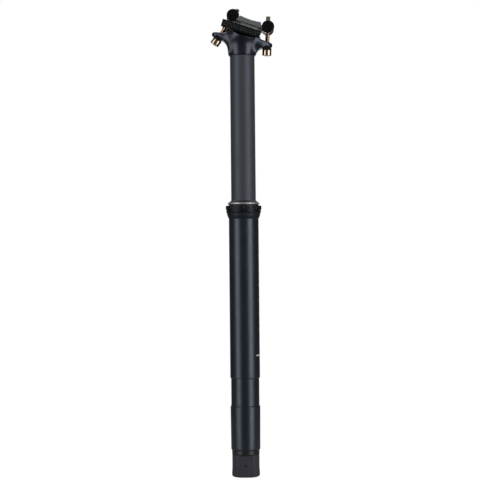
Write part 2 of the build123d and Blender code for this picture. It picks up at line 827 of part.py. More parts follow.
# Cartridge cylinder: a plain tube between the seal head and the end cap
with BuildPart() as cartridge_cylinder:
    with BuildSketch(Plane.XY.offset(cylinder_bottom)):
        Circle(cylinder_radius)
        Circle(cylinder_bore, mode=Mode.SUBTRACT)
    extrude(amount=cylinder_top - cylinder_bottom)
cartridge_cylinder.part.label = "cartridge_cylinder"
export_step(cartridge_cylinder.part, "parts/cartridge_cylinder.step")

# End cap: stands against the head's socket and takes the gas filling screw
with BuildPart() as cylinder_end_cap:
    with BuildSketch(Plane.XY.offset(cylinder_top)):
        Circle(stanchion_bore)
    extrude(amount=end_cap_flange)
    with BuildSketch(Plane.XY.offset(cylinder_top)):
        Circle(cylinder_bore)
    extrude(amount=-end_cap_spigot)
    with Locations((0, 0, end_cap_top)):
        CounterBoreHole(fill_hole_diameter / 2, fill_screw_diameter / 2, fill_screw_length)
cylinder_end_cap.part.label = "cylinder_end_cap"
export_step(cylinder_end_cap.part, "parts/cylinder_end_cap.step")

# Fill screw: a short socket screw that seals the gas chamber
with BuildPart() as fill_screw:
    with BuildSketch(Plane.XY.offset(end_cap_top)):
        Circle(fill_screw_diameter / 2)
    extrude(amount=-fill_screw_length)
    with BuildSketch(Plane.XY.offset(end_cap_top)):
        RegularPolygon(fill_screw_socket / 2, 6, major_radius=False)
    extrude(amount=-fill_screw_length / 2, mode=Mode.SUBTRACT)
fill_screw.part.label = "fill_screw"
export_step(fill_screw.part, "parts/fill_screw.step")

# Seal head: guides the piston rod where it leaves the cylinder
rod_hole = rod_radius + running_clearance
seal_groove_radius = rod_hole + rod_seal_section
seal_groove_bottom = seal_head_bottom + rod_seal_height
seal_groove_top = seal_groove_bottom + rod_seal_section
with BuildPart() as seal_head:
    with BuildSketch(Plane.XZ):
        with BuildLine():
            Polyline(
                (rod_hole, seal_head_bottom),
                (stanchion_bore, seal_head_bottom),
                (stanchion_bore, cylinder_bottom),
                (cylinder_bore, cylinder_bottom),
                (cylinder_bore, seal_head_top),
                (rod_hole, seal_head_top),
                (rod_hole, seal_groove_top),
                (seal_groove_radius, seal_groove_top),
                (seal_groove_radius, seal_groove_bottom),
                (rod_hole, seal_groove_bottom),
                close=True,
            )
        make_face()
    revolve(axis=Axis.Z)
seal_head.part.label = "seal_head"
export_step(seal_head.part, "parts/seal_head.step")

# Rod seal: an o-ring in the seal head's groove
with BuildPart() as rod_seal:
    with BuildSketch(Plane.XZ):
        with Locations((rod_hole + rod_seal_section / 2, seal_groove_bottom + rod_seal_section / 2)):
            Circle(rod_seal_section / 2)
    revolve(axis=Axis.Z)
rod_seal.part.label = "rod_seal"
export_step(rod_seal.part, "parts/rod_seal.step")

# Snap ring: an open ring that keeps the cartridge in the stanchion
mouth_depth = 2 * snap_groove_radius
mouth = mouth_depth * math.tan(math.radians(snap_ring_opening / 2))
with BuildPart() as snap_ring:
    with BuildSketch(Plane.XY.offset(snap_ring_bottom)):
        Circle(snap_groove_radius)
        Circle(snap_groove_radius - snap_ring_width, mode=Mode.SUBTRACT)
        with BuildLine():
            Polyline((0, 0), (-mouth, mouth_depth), (mouth, mouth_depth), close=True)
        make_face(mode=Mode.SUBTRACT)
    extrude(amount=snap_ring_thickness)
snap_ring.part.label = "snap_ring"
export_step(snap_ring.part, "parts/snap_ring.step")

# Floating piston: a cup between the oil and the gas, with its seal
floating_radius = cylinder_bore - running_clearance
floating_seat = floating_radius - floating_seal_section
floating_seal_bottom = floating_bottom + floating_seal_section
floating_seal_top = floating_seal_bottom + floating_seal_section
floating_top = floating_bottom + floating_height
with BuildPart() as floating_piston:
    with BuildSketch(Plane.XZ):
        with BuildLine():
            Polyline(
                (0, floating_bottom),
                (floating_radius, floating_bottom),
                (floating_radius, floating_seal_bottom),
                (floating_seat, floating_seal_bottom),
                (floating_seat, floating_seal_top),
                (floating_radius, floating_seal_top),
                (floating_radius, floating_top),
                (floating_radius - floating_cup_wall, floating_top),
                (floating_radius - floating_cup_wall, floating_top - floating_cup_depth),
                (0, floating_top - floating_cup_depth),
                close=True,
            )
        make_face()
    revolve(axis=Axis.Z)
floating_piston.part.label = "floating_piston"
export_step(floating_piston.part, "parts/floating_piston.step")

with BuildPart() as floating_piston_seal:
    with BuildSketch(Plane.XZ):
        with Locations(
            ((floating_radius + floating_seat) / 2, (floating_seal_bottom + floating_seal_top) / 2)
        ):
            Circle(floating_seal_section / 2)
    revolve(axis=Axis.Z)
floating_piston_seal.part.label = "floating_piston_seal"
export_step(floating_piston_seal.part, "parts/floating_piston_seal.step")

# Main piston: screwed on the rod's tip, with oil ports, a valve seat and a glide band
piston_radius = cylinder_bore - part_gap
port_place = (piston_radius - piston_band_depth + poppet_recess_diameter / 2) / 2
band_bottom = piston_bottom + piston_band_place
band_top_z = band_bottom + piston_band_height
with BuildPart() as main_piston:
    with BuildSketch(Plane.XZ):
        with BuildLine():
            Polyline(
                (rod_tip_diameter / 2, piston_bottom),
                (piston_radius, piston_bottom),
                (piston_radius, band_bottom),
                (piston_radius - piston_band_depth, band_bottom),
                (piston_radius - piston_band_depth, band_top_z),
                (piston_radius, band_top_z),
                (piston_radius, piston_top),
                (poppet_recess_diameter / 2, piston_top),
                (poppet_recess_diameter / 2, piston_top - poppet_recess),
                (rod_bore / 2, piston_top - poppet_recess),
                (rod_bore / 2, piston_bottom + rod_tip_length),
                (rod_tip_diameter / 2, piston_bottom + rod_tip_length),
                close=True,
            )
        make_face()
    revolve(axis=Axis.Z)
    with BuildSketch(Plane.XY.offset(piston_bottom)):
        with PolarLocations(port_place, piston_port_count):
            Circle(piston_port_diameter / 2)
    extrude(amount=piston_height, mode=Mode.SUBTRACT)
main_piston.part.label = "main_piston"
export_step(main_piston.part, "parts/main_piston.step")

with BuildPart() as piston_band:
    with BuildSketch(Plane.XY.offset(band_bottom)):
        Circle(cylinder_bore - running_clearance)
        Circle(piston_radius - piston_band_depth, mode=Mode.SUBTRACT)
    extrude(amount=piston_band_height)
piston_band.part.label = "piston_band"
export_step(piston_band.part, "parts/piston_band.step")

# Piston rod: hollow, fixed in the base plug, with the release pin inside it
with BuildPart() as piston_rod:
    with BuildSketch(Plane.XY.offset(rod_bottom)):
        Circle(rod_radius)
    extrude(amount=piston_bottom - rod_bottom)
    with BuildSketch(Plane.XY.offset(piston_bottom)):
        Circle(rod_tip_diameter / 2)
    extrude(amount=rod_tip_length)
    with BuildSketch(Plane.XY.offset(rod_bottom - overrun)):
        Circle(rod_bore / 2)
    extrude(amount=piston_top - rod_bottom + overrun, mode=Mode.SUBTRACT)
piston_rod.part.label = "piston_rod"
export_step(piston_rod.part, "parts/piston_rod.step")

# Rod nut: clamps the rod to the base plug from below
with BuildPart() as rod_nut:
    with BuildSketch(Plane.XY.offset(nut_bottom)):
        RegularPolygon(rod_nut_size / 2, 6, major_radius=False)
        Circle(rod_radius, mode=Mode.SUBTRACT)
    extrude(amount=rod_nut_height)
rod_nut.part.label = "rod_nut"
export_step(rod_nut.part, "parts/rod_nut.step")

# Base plug: closes the tube, holds the rod and carries the actuator housing
screw_places = [(-screw_place_x, screw_place_y), (screw_place_x, -screw_place_y)]
plug_ring_bottom = tube_bottom + plug_ring_height
with BuildPart() as base_plug:
    with BuildSketch(Plane.XY.offset(flange_bottom)):
        Circle(plug_flange_radius)
    extrude(amount=plug_flange_height)
    fillet(base_plug.edges().filter_by(GeomType.CIRCLE).group_by(Axis.Z)[0], plug_flange_round)
    with BuildSketch(Plane.XY.offset(tube_bottom)):
        Circle(bore_radius)
    extrude(amount=plug_spigot_height)
    with BuildSketch(Plane.XY.offset(plug_ring_bottom)):
        Circle(bore_radius)
        Circle(bore_radius - plug_ring_section, mode=Mode.SUBTRACT)
    extrude(amount=plug_ring_section, mode=Mode.SUBTRACT)
    with BuildSketch(Plane.XY.offset(flange_bottom - overrun)):
        Circle(rod_radius)
    extrude(amount=plug_flange_height + plug_spigot_height + 2 * overrun, mode=Mode.SUBTRACT)
    with BuildSketch(Plane.XY.offset(flange_bottom)):
        with Locations(*screw_places):
            Circle(screw_diameter / 2)
    extrude(amount=screw_grip, mode=Mode.SUBTRACT)
base_plug.part.label = "base_plug"
export_step(base_plug.part, "parts/base_plug.step")

with BuildPart() as plug_o_ring:
    with BuildSketch(Plane.XZ):
        with Locations(
            (bore_radius - plug_ring_section / 2, plug_ring_bottom + plug_ring_section / 2)
        ):
            Circle(plug_ring_section / 2)
    revolve(axis=Axis.Z)
plug_o_ring.part.label = "plug_o_ring"
export_step(plug_o_ring.part, "parts/plug_o_ring.step")

# Bottom-out bumper: the rubber ring that the stanchion lands on
bumper_radius = bore_radius - part_gap
with BuildPart() as bottom_out_bumper:
    with BuildSketch(Plane.XY.offset(plug_top)):
        Circle(bumper_radius)
        Circle(bumper_radius - bumper_width, mode=Mode.SUBTRACT)
    extrude(amount=bumper_height)
bottom_out_bumper.part.label = "bottom_out_bumper"
export_step(bottom_out_bumper.part, "parts/bottom_out_bumper.step")

# Actuator housing: flared block with a flat front and back, hollow for the cable lever
housing_height = flange_bottom - housing_bottom
cavity_length = cavity_left + cavity_right
cavity_middle = (cavity_right - cavity_left) / 2
flat_y = housing_radius - housing_flat_depth
with BuildPart() as actuator_housing:
    with BuildSketch(Plane.XZ):
        with BuildLine():
            Polyline(
                (housing_foot_radius, housing_bottom + housing_end_round),
                (housing_foot_radius, housing_bottom + housing_flare_height / 2),
                (housing_radius, housing_bottom + housing_flare_height),
                (housing_radius, flange_bottom),
                (0, flange_bottom),
                (0, housing_bottom),
                (housing_foot_radius - housing_end_round, housing_bottom),
            )
            RadiusArc(
                (housing_foot_radius - housing_end_round, housing_bottom),
                (housing_foot_radius, housing_bottom + housing_end_round),
                -housing_end_round,
            )
        make_face()
    revolve(axis=Axis.Z)
    with BuildSketch(Plane.XY.offset(housing_bottom - overrun)):
        with Locations((0, flat_y + overrun), (0, -flat_y - overrun)):
            Rectangle(2 * housing_foot_radius, 2 * overrun)
    extrude(amount=housing_height + overrun, mode=Mode.SUBTRACT)
    with BuildSketch(Plane.XY.offset(cavity_bottom)):
        with Locations((cavity_middle, 0)):
            Rectangle(cavity_length, cavity_width)
    extrude(amount=housing_height, mode=Mode.SUBTRACT)
    with BuildSketch(Plane.XY.offset(flange_bottom - nut_pocket_height)):
        Circle(nut_pocket_diameter / 2)
    extrude(amount=housing_height, mode=Mode.SUBTRACT)
    with BuildSketch(Plane.XY.offset(cavity_bottom)):
        with Locations(((window_left + cavity_right) / 2, housing_radius / 2)):
            Rectangle(cavity_right - window_left, housing_radius)
    extrude(amount=window_height, mode=Mode.SUBTRACT)
    with BuildSketch(Plane.XZ):
        with Locations((0, pivot_z)):
            Circle(pivot_diameter / 2)
    extrude(amount=2 * housing_radius, both=True, mode=Mode.SUBTRACT)
    with BuildSketch(Plane.XY.offset(housing_bottom)):
        with Locations(*screw_places):
            Circle(screw_diameter / 2)
    extrude(amount=housing_height, mode=Mode.SUBTRACT)
    with BuildSketch(Plane.XY.offset(housing_bottom)):
        with Locations(*screw_places):
            Circle(screw_head_diameter / 2)
    extrude(amount=screw_head_height + screw_recess, mode=Mode.SUBTRACT)
    with BuildSketch(Plane.XY.offset(housing_bottom)):
        with Locations((cable_x, 0)):
            Circle(cable_stop_diameter / 2)
    extrude(amount=cable_stop_depth, mode=Mode.SUBTRACT)
    with BuildSketch(Plane.XY.offset(housing_bottom)):
        with Locations((cable_x, 0)):
            Circle(wire_hole_diameter / 2)
    extrude(amount=cavity_floor, mode=Mode.SUBTRACT)
actuator_housing.part.label = "actuator_housing"
export_step(actuator_housing.part, "parts/actuator_housing.step")

# Housing screws: two socket screws from below into the base plug
screw_seat = housing_bottom + screw_recess + screw_head_height
with BuildPart() as housing_screws:
    with BuildSketch(Plane.XY.offset(screw_seat)):
        with Locations(*screw_places):
            Circle(screw_head_diameter / 2)
    extrude(amount=-screw_head_height)
    with BuildSketch(Plane.XY.offset(screw_seat)):
        with Locations(*screw_places):
            Circle(screw_diameter / 2)
    extrude(amount=flange_bottom + screw_grip - screw_seat)
    with BuildSketch(Plane.XY.offset(screw_seat - screw_head_height)):
        with Locations(*screw_places):
            RegularPolygon(screw_socket_size / 2, 6, major_radius=False)
    extrude(amount=screw_head_height / 2, mode=Mode.SUBTRACT)
housing_screws.part.label = "housing_screws"
export_step(housing_screws.part, "parts/housing_screws.step")

# Lever pivot pin: held in the housing's front and back walls
with BuildPart() as lever_pivot_pin:
    with BuildSketch(Plane.XZ):
        with Locations((0, pivot_z)):
            Circle(pivot_diameter / 2)
    extrude(amount=flat_y - pivot_recess, both=True)
lever_pivot_pin.part.label = "lever_pivot_pin"
export_step(lever_pivot_pin.part, "parts/lever_pivot_pin.step")

# Actuator lever: a forked arm that holds the cable's barrel, and a cam whose radius grows
# evenly with its angle, so that it lifts the release pin's ball at a steady rate
lever_side = Plane(origin=(0, 0, pivot_z), x_dir=(1, 0, 0), z_dir=(0, -1, 0))
rest_angle = math.radians(lever_arm_rest_angle)
lever_arm_length = cable_x / math.cos(rest_angle)
arm_end = (cable_x, lever_arm_length * math.sin(rest_angle))
cam_path = []
for point in range(cam_points):
    turn = math.radians(
        cam_start_angle + (cam_end_angle - cam_start_angle) * point / (cam_points - 1)
    )
    pitch = cam_pitch_radius + cam_lift_per_radian * turn
    slope_x = -cam_lift_per_radian * math.sin(turn) - pitch * math.cos(turn)
    slope_z = cam_lift_per_radian * math.cos(turn) - pitch * math.sin(turn)
    slope = math.hypot(slope_x, slope_z)
    inset = pin_radius + cam_gap
    cam_path.append(
        (
            -pitch * math.sin(turn) - inset * slope_z / slope,
            pitch * math.cos(turn) + inset * slope_x / slope,
        )
    )
with BuildPart() as actuator_lever:
    with BuildSketch(lever_side):
        with BuildLine():
            Spline(*cam_path)
            Polyline(cam_path[-1], (0, 0), cam_path[0])
        make_face()
        with Locations(Location((arm_end[0] / 2, arm_end[1] / 2), lever_arm_rest_angle)):
            Rectangle(lever_arm_length, lever_arm_width)
        with Locations(arm_end):
            Circle(barrel_ring_diameter / 2)
    extrude(amount=lever_width / 2, both=True)
    with BuildSketch(lever_side):
        Circle(hub_diameter / 2)
    extrude(amount=cavity_width / 2 - part_gap, both=True)
    with BuildSketch(lever_side):
        Circle(pivot_diameter / 2 + pivot_clearance)
        with Locations(arm_end):
            Circle(cable_barrel_diameter / 2 + pivot_clearance)
    extrude(amount=cavity_width, both=True, mode=Mode.SUBTRACT)
    with BuildSketch(lever_side):
        with Locations(arm_end):
            Rectangle(wire_slot_length, 2 * barrel_ring_diameter)
    extrude(amount=wire_slot_width / 2, both=True, mode=Mode.SUBTRACT)
actuator_lever.part.label = "actuator_lever"
export_step(actuator_lever.part, "parts/actuator_lever.step")

# Cable barrel: turns in the lever's fork, cross-drilled for the wire, with its set screw
barrel_z = pivot_z + arm_end[1]
barrel_end = cable_barrel_length / 2
barrel_face = Plane(origin=(arm_end[0], barrel_end, barrel_z), x_dir=(1, 0, 0), z_dir=(0, -1, 0))
with BuildPart() as cable_barrel:
    with BuildSketch(barrel_face):
        Circle(cable_barrel_diameter / 2)
    extrude(amount=cable_barrel_length)
    with BuildSketch(Plane.XY.offset(barrel_z)):
        with Locations((arm_end[0], 0)):
            Circle(wire_hole_diameter / 2)
    extrude(amount=cable_barrel_diameter, both=True, mode=Mode.SUBTRACT)
    with BuildSketch(barrel_face):
        Circle(set_screw_diameter / 2)
    extrude(amount=set_screw_length, mode=Mode.SUBTRACT)
cable_barrel.part.label = "cable_barrel"
export_step(cable_barrel.part, "parts/cable_barrel.step")

with BuildPart() as barrel_set_screw:
    with BuildSketch(barrel_face):
        Circle(set_screw_diameter / 2)
    extrude(amount=set_screw_length)
    with BuildSketch(barrel_face):
        RegularPolygon(set_screw_socket / 2, 6, major_radius=False)
    extrude(amount=set_screw_length / 2, mode=Mode.SUBTRACT)
barrel_set_screw.part.label = "barrel_set_screw"
export_step(barrel_set_screw.part, "parts/barrel_set_screw.step")

# Release pin: runs up through the hollow rod, with a ball foot and a collar for its spring
ball_z = pivot_z + cam_pitch_radius
pin_top = piston_top - poppet_recess + running_clearance
with BuildPart() as release_pin:
    with BuildSketch(Plane.XZ):
        with BuildLine():
            RadiusArc((0, ball_z - pin_radius), (pin_radius, ball_z), -pin_radius)
            Polyline(
                (pin_radius, ball_z),
                (pin_radius, pin_collar_bottom),
                (pin_collar_diameter / 2, pin_collar_bottom),
                (pin_collar_diameter / 2, pin_collar_top),
                (pin_radius, pin_collar_top),
                (pin_radius, pin_top),
                (0, pin_top),
                (0, ball_z - pin_radius),
            )
        make_face()
    revolve(axis=Axis.Z)
release_pin.part.label = "release_pin"
export_step(release_pin.part, "parts/release_pin.step")

# Valve poppet: the pin's head, which lifts off the main piston's seat
with BuildPart() as valve_poppet:
    with BuildSketch(Plane.XZ):
        with BuildLine():
            Polyline(
                (0, pin_top),
                (poppet_diameter / 2, pin_top),
                (poppet_diameter / 2, pin_top + poppet_height / 2),
                (pin_radius, pin_top + poppet_height),
                (0, pin_top + poppet_height),
                close=True,
            )
        make_face()
    revolve(axis=Axis.Z)
valve_poppet.part.label = "valve_poppet"
export_step(valve_poppet.part, "parts/valve_poppet.step")

# Release spring: one wire wound from the pin's collar up to the rod's end, in quarter
# turns that are each a pair of arcs
coil_radius = spring_mean_diameter / 2
coil_bottom = pin_collar_top + spring_wire / 2
coil_rise = (spring_length - spring_wire) / (4 * spring_turns)
coil_slope = coil_rise / (math.pi / 2)
coil_points = []
coil_ways = []
for quarter in range(4 * spring_turns + 1):
    turn = quarter * math.pi / 2
    coil_points.append(
        Vector(
            coil_radius * math.cos(turn),
            coil_radius * math.sin(turn),
            coil_bottom + quarter * coil_rise,
        )
    )
    coil_ways.append(
        Vector(-coil_radius * math.sin(turn), coil_radius * math.cos(turn), coil_slope).normalized()
    )
with BuildPart() as release_spring:
    with BuildLine() as coil:
        for quarter in range(4 * spring_turns):
            start, end = coil_points[quarter : quarter + 2]
            way_in, way_out = coil_ways[quarter : quarter + 2]
            chord = end - start
            both_ways = way_in + way_out
            square = both_ways.dot(both_ways) - 4
            linear = chord.dot(both_ways)
            handle = (linear - math.sqrt(linear**2 - square * chord.dot(chord))) / square
            joint = (start + end + (way_in - way_out) * handle) / 2
            first = TangentArc(start, joint, tangent=way_in)
            TangentArc(joint, end, tangent=first % 1)
    with BuildSketch(Plane(origin=coil_points[0], z_dir=coil_ways[0])):
        Circle(spring_wire / 2)
    sweep(path=coil.wires()[0])
release_spring.part.label = "release_spring"
export_step(release_spring.part, "parts/release_spring.step")
turn_starts = zip(coil_points, coil_points[4:])
spring_gap = min((upper - lower).length for lower, upper in turn_starts) - spring_wire
print("release spring: least gap between turns", round(spring_gap, 3), "mm")
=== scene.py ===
import json
import math

import bmesh
import bpy
import numpy as np
from bpy.props import FloatProperty, FloatVectorProperty, IntProperty, PointerProperty
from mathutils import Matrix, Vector


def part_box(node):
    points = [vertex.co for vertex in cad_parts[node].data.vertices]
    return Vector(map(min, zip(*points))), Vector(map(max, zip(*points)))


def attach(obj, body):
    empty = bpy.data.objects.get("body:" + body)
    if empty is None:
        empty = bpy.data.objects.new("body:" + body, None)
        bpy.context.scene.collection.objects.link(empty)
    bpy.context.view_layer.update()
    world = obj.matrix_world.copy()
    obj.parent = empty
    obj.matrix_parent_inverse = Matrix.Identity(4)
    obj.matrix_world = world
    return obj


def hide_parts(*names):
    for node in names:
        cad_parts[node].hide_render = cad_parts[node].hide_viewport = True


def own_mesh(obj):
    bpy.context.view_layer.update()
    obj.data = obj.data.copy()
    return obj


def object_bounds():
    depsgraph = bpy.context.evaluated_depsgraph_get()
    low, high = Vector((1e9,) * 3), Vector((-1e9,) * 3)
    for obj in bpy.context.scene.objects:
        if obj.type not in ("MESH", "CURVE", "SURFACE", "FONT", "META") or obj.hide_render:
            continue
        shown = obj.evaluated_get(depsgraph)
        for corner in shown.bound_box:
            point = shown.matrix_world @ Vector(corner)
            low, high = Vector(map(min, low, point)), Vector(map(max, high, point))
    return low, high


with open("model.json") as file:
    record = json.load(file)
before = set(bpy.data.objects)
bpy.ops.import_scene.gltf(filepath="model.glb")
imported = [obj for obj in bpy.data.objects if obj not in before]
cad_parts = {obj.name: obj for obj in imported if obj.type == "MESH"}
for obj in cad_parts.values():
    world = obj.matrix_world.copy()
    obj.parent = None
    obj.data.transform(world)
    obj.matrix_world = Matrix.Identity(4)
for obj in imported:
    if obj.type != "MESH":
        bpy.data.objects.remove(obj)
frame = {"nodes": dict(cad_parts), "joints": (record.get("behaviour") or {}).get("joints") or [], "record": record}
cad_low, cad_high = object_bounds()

bl_info = {
    "name": "Dropper Seatpost",
    "version": (1, 0, 0),
    "blender": (4, 5, 0),
    "location": "View3D > Sidebar > Seatpost",
    "description": "Finishes, threads and printed marks of a dropper seatpost, with its studio",
    "category": "Object",
}

joints = {joint["name"]: joint for joint in frame["joints"]}
mm = 0.001


def tint(name, default, description):
    """A setting that holds a colour."""
    return FloatVectorProperty(
        name=name, description=description, default=default, size=3, subtype="COLOR",
        min=0, max=1,
    )


def length(name, default, description, least=0.0):
    """A setting that holds a length in metres."""
    return FloatProperty(
        name=name, description=description, default=default, min=least, unit="LENGTH",
        subtype="DISTANCE", precision=5,
    )


class SeatpostPaint(bpy.types.PropertyGroup):
    """Colours of the finishes that show."""

    tube: tint("Outer tube", (0.0092, 0.0118, 0.0175), "Satin black of the outer tube")
    collar: tint("Collar cap", (0.0045, 0.0055, 0.0070), "Black of the screw cap")
    stanchion: tint("Stanchion", (0.045, 0.048, 0.058), "Dark grey of the sliding tube")
    head: tint("Head", (0.0085, 0.0098, 0.0145), "Blue-black of the forged head")
    cradle: tint("Cradle", (0.0050, 0.0055, 0.0060), "Black of the lower rail clamp")
    clamp: tint("Upper clamp", (0.29, 0.325, 0.325), "Pale metal of the upper rail clamp")
    ring: tint("Wiper ring", (0.46, 0.46, 0.47), "Pale ring on the wiper")
    bolts: tint("Bolts", (0.62, 0.47, 0.35), "Copper colour of the clamp bolts")
    housing: tint("Actuator housing", (0.042, 0.042, 0.054), "Matte black of the foot")
    scale: tint("Height scale", (0.28, 0.28, 0.29), "Grey paint of the scale")
    line: tint("Limit line", (0.72, 0.72, 0.74), "White paint of the limit line")


class SeatpostMarks(bpy.types.PropertyGroup):
    """Sizes of the printed height scale and its limit line."""

    pitch: length("Tick pitch", 0.00776, "Height from one tick to the next", 0.001)
    tick_height: length("Tick height", 0.0011, "Width of each tick's line")
    short_tick: length("Short tick", 0.0098, "Length of a plain tick round the tube")
    long_tick: length("Long tick", 0.0118, "Length of every second tick")
    first_tick: length("First tick", 0.0075, "Distance of the first tick below the collar")
    count: IntProperty(name="Ticks", description="How many ticks", default=18, min=1)
    line_height: length("Limit line height", 0.0013, "Width of the limit line")
    line_length: length("Limit line length", 0.0225, "Length of the limit line round the tube")
    line_drop: length("Limit line place", 0.1437, "Distance of the limit line below the collar")
    film: length("Paint thickness", 0.00004, "How far the paint stands proud of the tube")


class SeatpostSeal(bpy.types.PropertyGroup):
    """The ring in the split between the collar and its screw cap."""

    inner: length("Ring bore", 0.01623, "Inner radius of the ring")
    outer: length("Ring reach", 0.0177, "Outer radius of the ring")
    bottom: length("Ring bottom", 0.00572, "Height of the ring's lower face")
    top: length("Ring top", 0.00628, "Height of the ring's upper face")


class SeatpostThreads(bpy.types.PropertyGroup):
    """Thread and head details of the clamp bolts."""

    pitch: length("Thread pitch", 0.0008, "Rise of the thread in one turn", 0.0002)
    depth: length("Thread depth", 0.00042, "Depth of the thread's groove")
    plain: length("Plain shank", 0.0040, "Shank without thread under the head")
    socket: length("Socket", 0.0040, "Width across the flats of the key's socket")
    socket_depth: length("Socket depth", 0.0036, "Depth of the key's socket")
    head_height: length("Head height", 0.0060, "Height of the bolt's head")
    head_round: length("Head rounding", 0.0007, "Rounding of the head's outer edge")


class SeatpostSpring(bpy.types.PropertyGroup):
    """The spring that closes the valve."""

    wire: length("Wire", 0.00045, "Thickness of the spring's wire", 0.0001)
    turns: IntProperty(name="Turns", description="How many turns", default=3, min=1)


class SeatpostForging(bpy.types.PropertyGroup):
    """How the forged head's forms run into each other."""

    grid: length("Mesh size", 0.0005, "Size of the forged surface's facets", 0.0003)
    passes: IntProperty(
        name="Blending", description="How far the forms run into each other", default=140, min=0
    )
    swell: FloatProperty(
        name="Shoulder swell", description="Widening of the shoulders under the cradle",
        default=0.20, min=0, max=0.3,
    )
    swell_from: length("Swell start", 0.1812, "Height at which the shoulders start to widen")
    swell_to: length("Swell end", 0.1935, "Height at which the shoulders are widest")
    body: length("Body radius", 0.0160, "Radius of the head between its ears")
    ear: length("Ear half width", 0.0080, "Half the width of each ear's tip")
    root: length("Ear root", 0.0090, "Rounding between an ear and the body before the taper")


class SeatpostStudio(bpy.types.PropertyGroup):
    """Camera, lamps and background."""

    lens: FloatProperty(
        name="Lens", description="Focal length in millimetres", default=112.5, min=20
    )
    distance: length("Camera distance", 1.593, "From the camera to the post's axis")
    height: length("Camera height", -0.02232, "Height of the camera in the part's frame", -2)
    aside: length("Camera offset", -0.00414, "Sideways place of the camera", -2)
    roll: FloatProperty(
        name="Camera roll", description="Turn of the camera about its own axis",
        default=math.radians(0.53), subtype="ANGLE",
    )
    strip_power: FloatProperty(
        name="Left lamp", description="Power of the tall lamp on the left", default=10.2,
        unit="POWER",
    )
    right_share: FloatProperty(
        name="Right lamp", description="Power of the right lamp, against that of the left one",
        default=1.30, min=0,
    )
    top_power: FloatProperty(
        name="Top lamp", description="Power of the overhead lamp", default=13.0, unit="POWER"
    )
    floor_gloss: FloatProperty(
        name="Floor in the gloss", description="How much of the floor's glow reflections show",
        default=0.15, min=0, max=1,
    )
    sky: FloatProperty(
        name="Room light", description="Strength of the even light from all sides",
        default=0.07, min=0,
    )


# Materials


def shader_of(name):
    """A new material, its node tree and its Principled shader."""
    material = bpy.data.materials.new(name)
    material.use_nodes = True
    return material, material.node_tree, material.node_tree.nodes["Principled BSDF"]


def node(tree, kind, **settings):
    """A node of that kind, with its settings and the constant values of its inputs."""
    made = tree.nodes.new("ShaderNode" + kind)
    for key, value in settings.items():
        if key in made.inputs:
            made.inputs[key].default_value = value
        else:
            setattr(made, key, value)
    return made


def noise(tree, place, scale, detail=3.0):
    """A noise texture over the given coordinates, in cells per metre."""
    made = node(tree, "TexNoise", Scale=scale, Detail=detail, Roughness=0.55)
    tree.links.new(place, made.inputs["Vector"])
    return made.outputs["Fac"]


def spread(tree, value, low, high, start=0.3, end=0.7):
    """Stretches a 0 to 1 pattern to a range of values."""
    made = node(tree, "MapRange")
    for socket, amount in zip(made.inputs[1:5], (start, end, low, high)):
        socket.default_value = amount
    tree.links.new(value, made.inputs["Value"])
    return made.outputs["Result"]


def mixed(tree, share, first, second):
    """Mixes two colours, each a colour or another node's output, by a share."""
    made = node(tree, "Mix", data_type="RGBA")
    for socket, colour in zip((made.inputs[6], made.inputs[7]), (first, second)):
        if isinstance(colour, bpy.types.NodeSocket):
            tree.links.new(colour, socket)
        else:
            socket.default_value = (*colour, 1)
    tree.links.new(share, made.inputs[0])
    return made.outputs[2]


def shade(colour, factor):
    """The colour made lighter or darker."""
    return tuple(min(1.0, part * factor) for part in colour)


# Cosine of the turn across an edge, from the full edge mark to none; the mark is edge wear, and on the cradle a
# painted highlight
EDGE_MASK_TURN = (0.80, 0.995)
# Patches per metre that break up the edge mark, and the least and most of the mark that a patch keeps
EDGE_MASK_PATCHES = 260
EDGE_MASK_KEPT = (0.55, 1.0)


def worn_and_highlit_edges(tree, radius, place, amount):
    """A mask that is highest along sharp edges and broken up into patches: edge wear, and on the cradle a painted
    highlight along the rib edges.
    """
    rounded = node(tree, "Bevel", Radius=radius, samples=6)
    flat = node(tree, "NewGeometry")
    turn = node(tree, "VectorMath", operation="DOT_PRODUCT")
    tree.links.new(rounded.outputs["Normal"], turn.inputs[0])
    tree.links.new(flat.outputs["Normal"], turn.inputs[1])
    edge = spread(tree, turn.outputs["Value"], amount, 0.0, *EDGE_MASK_TURN)
    patches = spread(tree, noise(tree, place, EDGE_MASK_PATCHES, detail=2), *EDGE_MASK_KEPT)
    broken = node(tree, "Math", operation="MULTIPLY", use_clamp=True)
    tree.links.new(edge, broken.inputs[0])
    tree.links.new(patches, broken.inputs[1])
    return broken.outputs["Value"]


# Heights in metres between which the bolts' colour changes to that of their tips
BOLT_TIP = (0.2060, 0.2085)
# How much finer the roughness varies than the colour, and how much lighter plain wear is
FINER_ROUGHNESS = 2.7
WEAR_LIGHTER = 3.0


